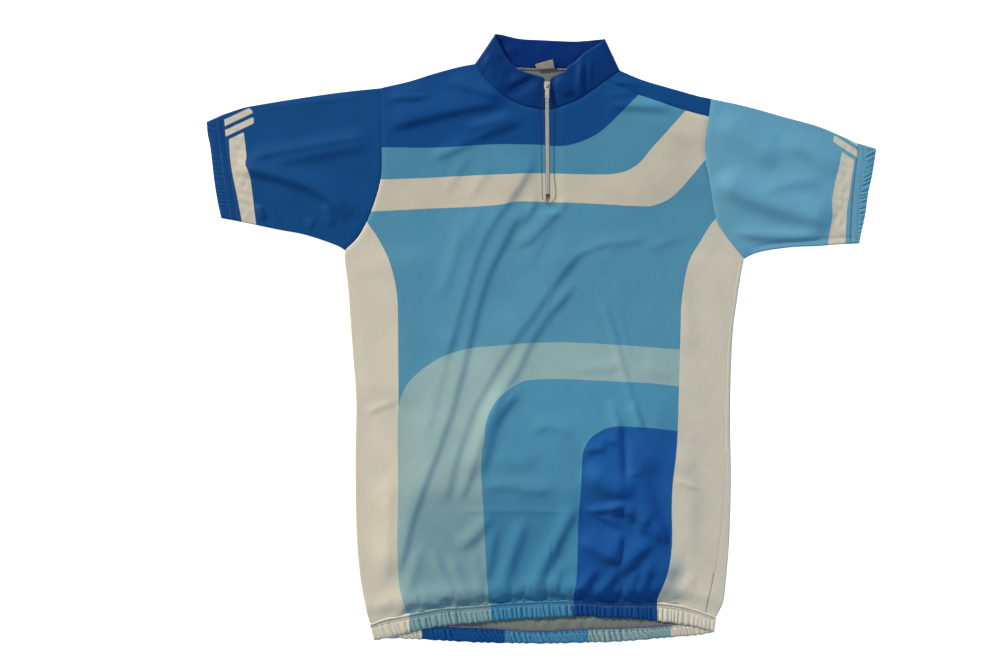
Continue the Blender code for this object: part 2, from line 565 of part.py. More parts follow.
def build_collar():
    """Stand collar: one band folded flat at both shoulders, open in front at the zip."""
    rise_to_folds = ramp(np.linspace(0, 1, 16))
    bands = []
    for neck, outer, top, sign in ((NECK_FRONT_R, SHOULDER_R[0], COLLAR_TOP_R, -1),
                                   (NECK_FRONT_L, SHOULDER_L[0], COLLAR_TOP_L, 1)):
        base = fair((outer,) + tuple(neck), 16)[::-1]
        base = moved(base, GAP * sign)
        head = fair(top, 16)
        base[0, 0], head[0, 0] = (zip_x(np.array([base[0, 1], head[0, 1]]))
                                  + sign * SLIT_HALF)
        low_z = np.maximum(upper_level(base), LEVEL)
        low_z[0] = zip_level(base[:1, 1])[0]
        high_z = zip_level(head[:1, 1])[0] + rise_to_folds * (COLLAR_STAND - ZIP_LEVEL - COLLAR_RISE)
        bands.append((base, head, low_z, high_z, sign))
    neck = moved(fair(NECK_BACK, 16), GAP)
    head = fair(COLLAR_TOP_BACK, 16)
    flat = COLLAR_WALL / 2
    stations = []

    def across(base, top, base_z, top_z):
        shares = np.linspace(0, 1, 5)
        return np.array([[*(base + (top - base) * s), base_z + (top_z - base_z) * s]
                         for s in shares])

    def turn(band, angles, reverse):
        base, top, low_z, high_z, sign = band
        fold = top[-1] - base[-1]
        way = np.array((fold[1], -fold[0])) * sign / np.linalg.norm(fold)
        made = []
        for angle in np.radians(angles):
            ends = []
            for spot, height in ((base[-1], low_z[-1]), (top[-1], high_z[-1])):
                radius = (height - flat) / 2
                start = spot - way * (radius + flat)
                ends.append((start + way * radius * np.sin(angle),
                             height - radius * (1 - np.cos(angle))))
            made.append(across(ends[0][0], ends[1][0], ends[0][1], ends[1][1]))
        return made[::-1] if reverse else made

    right, left = bands
    for k in range(len(right[0]) - 1):
        stations.append(across(right[0][k], right[1][k], right[2][k], right[3][k]))
    stations += turn(right, (0, 45, 90, 135, 180), False)
    stations += [across(neck[k], head[k], flat, flat) for k in range(1, len(neck) - 1)]
    stations += turn(left, (0, 45, 90, 135, 180), True)
    for k in reversed(range(len(left[0]) - 1)):
        stations.append(across(left[0][k], left[1][k], left[2][k], left[3][k]))
    points = np.array(stations)
    front = np.ones(len(points), bool)
    front[len(right[0]) + 2: -len(left[0]) - 2] = False
    grid = points[front].reshape(-1, 3)
    middle = np.tile(np.sin(np.linspace(0, np.pi, 5)) ** 0.5, front.sum())
    lift = (0.6 + folded(grid[:, :2], COLLAR_FOLDS)) * middle
    away = np.abs(grid[:, 0] - zip_x(grid[:, 1]))
    outer = np.minimum(*[beside(grid[:, :2], np.array((b[0][-1], b[1][-1])))[0] for b in bands])
    grid[:, 2] = np.maximum(grid[:, 2] + lift * ramp((away - 9) / 8) * ramp((outer - 4) / 12), LEVEL)
    points[front] = grid.reshape(-1, 5, 3)
    count = points.shape[1]
    faces = [[s * count + k, s * count + k + 1, (s + 1) * count + k + 1, (s + 1) * count + k]
             for s in range(len(points) - 1) for k in range(count - 1)]
    return make("collar", *shell(points.reshape(-1, 3), faces, COLLAR_WALL), "royal_knit")


def swept(path, section):
    """Closed bar: the section, sideways and up, carried along a path that runs in y and z."""
    count = len(section)
    points = np.vstack([[(x + side, y, z + up) for side, up in section] for x, y, z in path])
    faces = [[s * count + k, s * count + (k + 1) % count, (s + 1) * count + (k + 1) % count,
              (s + 1) * count + k] for s in range(len(path) - 1) for k in range(count)]
    last = (len(path) - 1) * count
    faces += [list(range(count)), [last + k for k in reversed(range(count))]]
    return points, faces


def zip_path(start, end, lift, count):
    """Points up the middle of the zip, lift above the cloth beside it."""
    y = np.linspace(start, end, count)
    return np.column_stack((zip_x(y), y, zip_level(y) + lift))


def tape_middle():
    """Height of the tape's middle under the cloth's middle, clear of the thicker collar."""
    return -(COLLAR_WALL / 2 + GAP + TAPE_THICK / 2)


def coil_middle():
    """Height of the coil's middle over the cloth's middle."""
    return tape_middle() + TAPE_THICK / 2 + GAP + COIL_THICK / 2


def build_zip():
    """Zip: a tape behind the slit and the closed coils on it."""
    half = TAPE_THICK / 2
    tape = [(-TAPE_HALF, -half), (TAPE_HALF, -half), (TAPE_HALF, half), (-TAPE_HALF, half)]
    make("zip_tape", *swept(zip_path(SLIT_FOOT - 6, ZIP_TOP[1], tape_middle(), 10), tape), "zip_tape")
    high = COIL_THICK / 2
    coil = [(-COIL_HALF, -high), (COIL_HALF, -high), (COIL_HALF, high * 0.3),
            (COIL_HALF * 0.6, high), (0.25, high), (0, high * 0.72), (-0.25, high),
            (-COIL_HALF * 0.6, high), (-COIL_HALF, high * 0.3)]
    foot = ZIP_FOOT[1] + STOP["long"] + GAP
    make("zip_coil", *swept(zip_path(foot, ZIP_TOP[1], coil_middle(), 12), coil), "zip_coil")


def block(name, size, middle, slot, bevel=0.0):
    """Box of the given size about its middle, its edges rounded."""
    bm = bmesh.new()
    bmesh.ops.create_cube(bm, size=1.0)
    for v in bm.verts:
        v.co = Vector(v.co[k] * size[k] + middle[k] for k in range(3)) * MM
    if bevel:
        bmesh.ops.bevel(bm, geom=list(bm.edges), offset=bevel * MM, segments=2, profile=0.5,
                        affect="EDGES")
    mesh = bpy.data.meshes.new(name)
    bm.to_mesh(mesh)
    bm.free()
    thing = bpy.data.objects.new(name, mesh)
    thing.data.materials.append(material(slot))
    bpy.data.collections["cycling_jersey"].objects.link(thing)
    return thing


def joined(target, others, how="UNION"):
    """Target combined with the other objects, which are used up."""
    for other in others:
        step = target.modifiers.new("combine", "BOOLEAN")
        step.operation, step.solver, step.object = how, "EXACT", other
        graph = bpy.context.evaluated_depsgraph_get()
        mesh = bpy.data.meshes.new_from_object(target.evaluated_get(graph))
        target.modifiers.clear()
        target.data = mesh
        mesh.name = target.name
        bpy.data.objects.remove(other)
    return target


def pivot():
    """Middle of the pull's bar, which turns in the slider's bridge."""
    y = ZIP_TOP[1] - SLIDER["tail"] + 4.2
    z = slider_top() + (BRIDGE["height"] - BRIDGE["bar"]) / 2
    return np.array((zip_x(y), y, z))


def slider_top():
    """Upper face of the slider's upper plate."""
    return zip_level(ZIP_TOP[1]) + COLLAR_WALL / 2 + GAP + 0.25 + SLIDER["plate"]


def build_slider():
    """Slider: two plates round the coils, joined by a post at the nose, with a bridge on top."""
    top, plate, half = slider_top(), SLIDER["plate"], SLIDER["half"]
    y0, y1 = ZIP_TOP[1] - SLIDER["tail"], ZIP_TOP[1] + SLIDER["nose"]
    middle_y, length = (y0 + y1) / 2, y1 - y0
    x = zip_x(middle_y)
    floor = zip_level(ZIP_TOP[1]) + tape_middle() - TAPE_THICK / 2 - GAP
    upper = block("zip_slider", (2 * half, length, plate), (x, middle_y, top - plate / 2),
                  "zip_metal", 0.35)
    lower = block("lower", (2 * half - 1, length, 0.9), (x, middle_y, floor - 0.45), "zip_metal", 0.25)
    post = block("post", (2 * SLIDER["post_half"], SLIDER["post_long"], top - floor),
                 (x, y1 - SLIDER["post_long"] / 2 - 0.4, (top - plate / 2 + floor - 0.45) / 2),
                 "zip_metal")
    centre, bar = pivot(), BRIDGE["bar"]
    reach, height = BRIDGE["reach"], BRIDGE["height"]
    arch = [(-reach - bar, -0.4), (-reach - bar, height * 0.45), (-reach * 0.55 - bar * 0.5, height),
            (reach * 0.55 + bar * 0.5, height), (reach + bar, height * 0.45), (reach + bar, -0.4),
            (reach, -0.4), (reach, height * 0.38), (reach * 0.5, height - bar),
            (-reach * 0.5, height - bar), (-reach, height * 0.38), (-reach, -0.4)]
    rim = len(arch)
    points = [(centre[0] + side * BRIDGE["half"], centre[1] + y, top + z)
              for side in (-1, 1) for y, z in arch]
    spans = ((0, 1, 10, 11), (1, 2, 9, 10), (2, 3, 8, 9), (3, 4, 7, 8), (4, 5, 6, 7))
    faces = [list(span) for span in spans] + [[k + rim for k in reversed(span)] for span in spans]
    faces += [[k, k + rim, (k + 1) % rim + rim, (k + 1) % rim] for k in range(rim)]
    bridge = make("bridge", points, faces, "zip_metal")
    return joined(upper, (lower, post, bridge))


def build_pull():
    """Pull tab: a flat tongue with an eye round the bridge, turning on the bar across the eye."""
    x, y, z = pivot()
    bar, thick, half = PULL["bar"], PULL["thick"], PULL["half"]
    tail = y - PULL["length"]
    start = y + bar
    tongue = block("zip_pull", (2 * half, start - tail, thick), (x, (start + tail) / 2, z),
                   "zip_metal", 0.3)
    eye = block("eye", (2 * PULL["eye_half"], PULL["eye_long"] - bar, thick * 3),
                (x, y - (PULL["eye_long"] + bar) / 2, z), "zip_metal")
    bm = bmesh.new()
    bmesh.ops.create_cone(bm, cap_ends=True, segments=16, radius1=PULL["hole"] * MM,
                          radius2=PULL["hole"] * MM, depth=thick * 3 * MM)
    bmesh.ops.translate(bm, verts=bm.verts, vec=Vector((x, tail + 2.4, z)) * MM)
    mesh = bpy.data.meshes.new("hole")
    bm.to_mesh(mesh)
    bm.free()
    hole = bpy.data.objects.new("hole", mesh)
    bpy.data.collections["cycling_jersey"].objects.link(hole)
    return joined(tongue, (eye, hole), "DIFFERENCE")


def build_label():
    """Neck label: a folded strip of plain tape caught in the neck seam, leaning to one side."""
    foot = np.array(((0.2, 330.6), (17.6, 333.4)))
    head = np.array(((-7.2, 334.6), (14.2, 341.0)))
    rows = []
    for share, height in ((0.0, 2.6), (0.3, 3.1), (0.65, 3.9), (1.0, 4.3)):
        a, b = foot + (head - foot) * share
        rows.append([(*(a + (b - a) * t), height + 0.35 * np.sin(np.pi * t)) for t in (0, 0.33, 0.67, 1)])
    points = np.array(rows).reshape(-1, 3)
    faces = [[r * 4 + k, r * 4 + k + 1, (r + 1) * 4 + k + 1, (r + 1) * 4 + k]
             for r in range(3) for k in range(3)]
    return make("neck_label", *shell(points, faces, 0.8), "label_cloth")


def settle(things):
    """Moves the whole jersey so that its box stands on the origin, middle over middle."""
    spots = np.vstack([np.array([v.co for v in thing.data.vertices]) for thing in things])
    lowest, highest = spots.min(0), spots.max(0)
    shift = Vector((-(lowest[0] + highest[0]) / 2, -(lowest[1] + highest[1]) / 2, -lowest[2]))
    for thing in things:
        for v in thing.data.vertices:
            v.co += shift
    print("moved by", [round(s / MM, 4) for s in shift], "pivot",
          [round(float(p + s / MM), 4) for p, s in zip(pivot(), shift)])


for old in list(bpy.data.objects):
    bpy.data.objects.remove(old, do_unlink=True)
home = bpy.data.collections.new("cycling_jersey")
bpy.context.scene.collection.children.link(home)

EDGES = turned_edges()
build_back()
build_front()
build_sleeve("sleeve_right", ARM_R, CUFF_SEAM_R, TOP_R, UNDER_R, -1, "royal_knit")
build_sleeve("sleeve_left", ARM_L, CUFF_SEAM_L, TOP_L, UNDER_L, 1, "light_blue_knit")
build_cuff("cuff_right", CUFF_SEAM_R, CUFF_EDGE_R, "royal_knit")
build_cuff("cuff_left", CUFF_SEAM_L, CUFF_EDGE_L, "light_blue_knit")
build_hem("hem_front", HEM_FRONT_TOP, HEM_FRONT_FOOT, HEM_FRONT_GATHERS,
          lambda middle: HEM_UNDER + 0.35 * middle,
          ((0.0, 1.9, 0.6), (0.45, HEM_THICK, 1.0), (1.0, 1.5, 0.7), (0.9, 0.0, 0.0), (0.0, 0.0, 0.0)))
build_hem("hem_back", HEM_BACK_TOP, HEM_BACK_FOOT, HEM_BACK_GATHERS, lambda middle: 0.0 * middle,
          ((0.0, 1.6, 0.6), (0.5, 2.1, 0.9), (1.0, 1.2, 0.6), (0.95, 0.0, 0.0), (0.0, 0.0, 0.0)))
build_collar()
build_zip()
build_slider()
build_pull()
stop_y = ZIP_FOOT[1] + STOP["long"] / 2
block("zip_stop", (2 * STOP["half"], STOP["long"], STOP["thick"]),
      (zip_x(stop_y), stop_y, ZIP_LEVEL + coil_middle() + 0.1), "zip_metal", 0.3)
build_label()
settle(list(home.objects))
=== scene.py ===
"""Cycling jersey with short sleeves and a half zip, laid flat with its front up.

Right and left are the wearer's. Tables are in millimetres: x to the wearer's left, y towards the
collar, z up from the surface that the jersey lies on.
"""

import bpy
import numpy as np
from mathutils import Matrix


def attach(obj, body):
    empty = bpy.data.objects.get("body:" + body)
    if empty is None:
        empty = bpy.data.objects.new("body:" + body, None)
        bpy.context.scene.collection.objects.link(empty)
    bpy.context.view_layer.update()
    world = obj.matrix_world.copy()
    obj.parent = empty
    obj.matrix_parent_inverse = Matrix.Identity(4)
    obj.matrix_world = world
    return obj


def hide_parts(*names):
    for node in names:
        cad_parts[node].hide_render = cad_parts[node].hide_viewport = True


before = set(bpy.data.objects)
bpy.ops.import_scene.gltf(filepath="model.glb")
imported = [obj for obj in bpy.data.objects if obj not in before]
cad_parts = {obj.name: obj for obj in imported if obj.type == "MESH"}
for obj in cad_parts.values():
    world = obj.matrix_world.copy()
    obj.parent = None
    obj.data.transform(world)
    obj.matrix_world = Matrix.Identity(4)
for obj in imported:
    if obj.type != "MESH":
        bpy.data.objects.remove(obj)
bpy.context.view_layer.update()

# ---- Front panel ---------------------------------------------------------------------------
# One piece of warp-knitted polyester, dyed through from its right side, so the wrong side is
# pale. It is sewn to the back 24 mm in front of the shoulders and to both sleeves, is slit for
# the zip, and turns under along the right side, where it meets the back on the floor.
MM = 0.001
SETTLED = np.array((-0.3904, 0.3591, 0.0))
CLOTH = 1.0          # thickness of the knit
LOW = CLOTH / 2      # middle of a layer that lies on the floor
LEVEL = 3.0          # middle of the upper layer at a turned edge
LOWEST = 1.9         # the upper layer comes no lower than this
PUFF, PUFF_SOFT = 1.3, 40.0       # how much higher it lies away from the edges, and how far away
LOW_ROUND = 0.3      # square millimetres; rounds the folds' lowest places off
EDGE_SOFT = 9.0      # distance over which the folds run out towards a turned edge
UNDERLAP = 9.0       # width turned under along the right side
SEAM_GAP = 0.05      # a piece stops this far from a seam's line, a sleeve twice as far
SAME_AREA = 3e-6     # square metres; faces closer in area than this weigh alike in the shading
SEAM_STEP = 0.15     # how much lower the back's edge lies where the front meets it
TUCK_DEEP, TUCK_HALF = 0.6, 2.6   # how far the cloth dips into a seam
ZIP_TOP, ZIP_FOOT = (7.3, 308.6), (8.4, 173.6)
ZIP_LEVEL, SLIT_HALF, SLIT_FOOT, SLIT_OPENS = 3.5, 2.7, 165.5, 2.6
ZIP_EVEN, ZIP_BLEND = 9.0, 12.0   # the cloth is even this far from the zip, then blends over this
PUCKER, PUCKER_SOFT = 0.55, 20.0  # puckers beside a cuff's seam, and how far they reach
LIP_TOP = 106.0      # the right side is turned under below this y
MIDDLE_X = 8.0       # where the hem's y is read for the foot of the line between the halves

SIDE_R = ((-239.2, 107.6), (-239.8, 95.8), (-235.5, 59.2), (-233.0, 22.6), (-229.4, -26.2),
          (-225.9, -75.0), (-226.9, -148.2), (-225.7, -233.6), (-222.0, -282.4), (-218.4, -306.8),
          (-213.5, -331.2), (-209.0, -349.5))
SIDE_L = ((247.6, 97.2), (243.6, 77.0), (239.1, 47.0), (234.2, 10.4), (231.8, -38.4),
          (230.8, -99.4), (231.8, -172.6), (230.0, -240.0), (226.9, -282.4), (223.3, -315.0),
          (219.0, -329.0), (213.8, -340.1))
SIDE_SEAM_L = ((241.4, 92.0), (237.6, 72.0), (233.4, 40.0), (228.6, 5.0), (226.0, -40.0),
               (224.4, -99.4), (224.0, -172.6), (218.0, -240.0), (211.8, -282.4), (206.4, -309.0),
               (203.2, -322.0), (201.4, -335.6))
ARM_R = ((-196.7, 305.6), (-194.8, 281.2), (-193.9, 256.0), (-194.0, 231.7), (-195.3, 195.3),
         (-206.5, 156.2), (-221.9, 125.3), (-239.2, 107.6))
ARM_L = ((207.4, 292.8), (204.6, 270.5), (201.5, 252.0), (199.8, 237.0), (200.6, 215.0),
         (206.2, 188.0), (213.1, 148.4), (223.7, 127.4), (247.6, 97.2))
SHOULDER_R = ((-80.8, 335.1), (-101.3, 331.2), (-130.5, 323.3), (-157.4, 314.8), (-174.5, 310.5),
              (-196.7, 305.6))
SHOULDER_L = ((96.2, 327.0), (123.2, 315.8), (147.6, 308.4), (164.7, 303.6), (191.5, 296.0),
              (207.4, 292.8))
SEAM_R = ((-70.6, 319.6), (-104.9, 307.4), (-147.6, 294.0), (-194.8, 281.2))
SEAM_L = ((79.5, 315.6), (98.0, 305.4), (118.9, 297.1), (175.7, 278.2), (204.6, 270.5))
NECK_FRONT_R = ((-70.6, 319.6), (-59.7, 308.0), (-45.1, 295.5), (-35.9, 290.2), (-18.7, 283.5),
                (-1.5, 280.2), (4.7, 279.7))
NECK_FRONT_L = ((79.5, 315.6), (69.4, 307.9), (59.4, 300.7), (47.5, 292.8), (32.9, 286.2),
                (17.1, 281.0), (10.1, 279.8))
TOP_R = ((-196.7, 305.6), (-247.7, 300.1), (-306.2, 291.6), (-350.1, 284.3), (-364.8, 281.2),
         (-386.7, 273.9))
TOP_L = ((207.4, 292.8), (250.1, 283.6), (294.0, 271.4), (337.9, 259.2), (367.2, 247.0),
         (386.7, 238.6))
UNDER_R = ((-239.2, 107.6), (-247.7, 112.8), (-267.2, 120.2), (-291.6, 127.5), (-318.4, 132.4),
           (-347.7, 138.5), (-369.1, 143.0))
UNDER_L = ((247.6, 97.2), (261.1, 103.7), (279.4, 108.0), (308.7, 111.6), (337.9, 112.8),
           (367.2, 115.0), (377.0, 115.4))
ARM_SEAM_L = ((250.0, 101.0), (262.0, 109.2), (288.8, 115.8), (329.4, 119.2), (352.0, 121.6),
              (376.0, 122.6))
CUFF_SEAM_R = ((-386.7, 273.9), (-384.4, 245.8), (-380.3, 216.5), (-375.8, 188.1), (-369.1, 143.0))
CUFF_SEAM_L = ((386.7, 238.6), (386.1, 222.4), (382.5, 193.0), (379.3, 161.6), (377.0, 115.4))
HEM_FRONT_TOP = ((-209.0, -348.0), (-191.7, -341.2), (-164.3, -336.0), (-122.4, -328.2),
                 (-98.8, -326.6), (-63.4, -323.4), (-23.9, -320.4), (15.5, -318.9), (47.6, -319.0),
                 (78.0, -321.4), (113.0, -321.2), (141.0, -321.0), (169.0, -324.2), (193.5, -331.0),
                 (213.8, -338.8))

# Edges between the printed colours; each colour lies to the left of its line's direction.
YOKE_LINE = ((-208.6, 232.9), (-194.0, 233.1), (-146.4, 232.4), (-109.8, 233.1), (-81.7, 235.3),
             (-48.8, 236.8), (-1.2, 236.1), (15.9, 234.5), (34.2, 235.8), (54.9, 242.2), (70.8, 251.0),
             (85.2, 263.2), (99.3, 277.3), (119.0, 297.1), (139.1, 317.8))
BAND_LINE = ((-213.5, 193.4), (-196.2, 193.9), (-146.4, 195.3), (-90.3, 198.2), (-42.7, 200.1),
             (-1.2, 201.4), (48.8, 200.1), (79.1, 199.8), (95.2, 201.4), (109.4, 206.5),
             (121.5, 215.6), (135.7, 232.8), (154.0, 253.0), (176.2, 277.9), (194.0, 298.3))
CREAM_LINE = ((-226.9, 153.7), (-207.0, 154.7), (-132.2, 158.4), (-83.0, 160.4), (-48.8, 163.0),
              (-28.1, 167.0), (18.3, 166.0), (58.6, 164.5), (123.6, 161.0), (139.8, 163.0),
              (155.9, 170.1), (170.1, 182.3), (194.0, 210.6), (200.6, 218.4), (220.8, 242.2))
PANEL_R = ((-156.2, -373.9), (-159.8, -355.3), (-163.5, -336.6), (-169.0, -316.2), (-173.6, -293.9),
           (-174.9, -241.8), (-174.0, -186.0), (-174.6, -111.6), (-173.4, -82.3), (-173.7, -32.3),
           (-174.2, 20.1), (-174.6, 42.1), (-177.0, 64.4), (-181.8, 84.9), (-189.2, 104.6),
           (-200.4, 125.0), (-212.3, 142.1), (-226.9, 165.3))
PANEL_L = ((226.9, 165.3), (213.5, 147.0), (204.2, 135.3), (193.0, 116.6), (182.8, 99.9),
           (177.1, 83.1), (173.2, 60.6), (170.8, 38.4), (170.2, 20.1), (169.1, -17.7),
           (167.8, -64.0), (165.6, -123.8), (163.4, -148.8), (160.2, -176.3), (159.2, -208.0),
           (159.8, -241.8), (157.7, -266.0), (152.1, -290.1), (144.8, -308.8), (141.5, -319.9),
           (140.3, -343.4), (139.1, -367.8))
AQUA_LINE = ((194.0, -15.2), (169.1, -13.4), (120.2, -9.8), (83.0, -7.1), (23.2, -4.6),
             (-24.9, -6.2), (-58.6, -9.4), (-83.0, -11.2), (-99.6, -15.0), (-118.3, -21.3),
             (-135.4, -30.9), (-150.1, -42.1), (-163.5, -56.7), (-170.8, -72.0), (-173.2, -83.1),
             (-175.7, -99.4), (-176.9, -123.8))
SKY_LINE = ((194.0, -61.0), (167.8, -58.3), (129.3, -54.2), (92.1, -52.3), (23.2, -49.2),
            (-12.2, -50.4), (-24.9, -53.1), (-39.8, -62.6), (-51.2, -72.0), (-61.2, -86.9),
            (-67.1, -103.7), (-68.9, -123.8), (-72.2, -139.7), (-72.6, -167.4), (-70.4, -204.3),
            (-67.6, -260.5), (-63.9, -317.8), (-61.1, -342.2), (-59.8, -373.9))
ROYAL_LINE = ((194.0, -115.3), (165.6, -112.5), (129.3, -108.3), (92.1, -106.5), (79.1, -109.2),
              (73.2, -111.6), (62.0, -119.0), (53.7, -129.9), (50.0, -145.1), (48.1, -186.0),
              (45.1, -223.3), (43.4, -288.3), (39.6, -312.4), (39.6, -338.6), (39.0, -373.9))

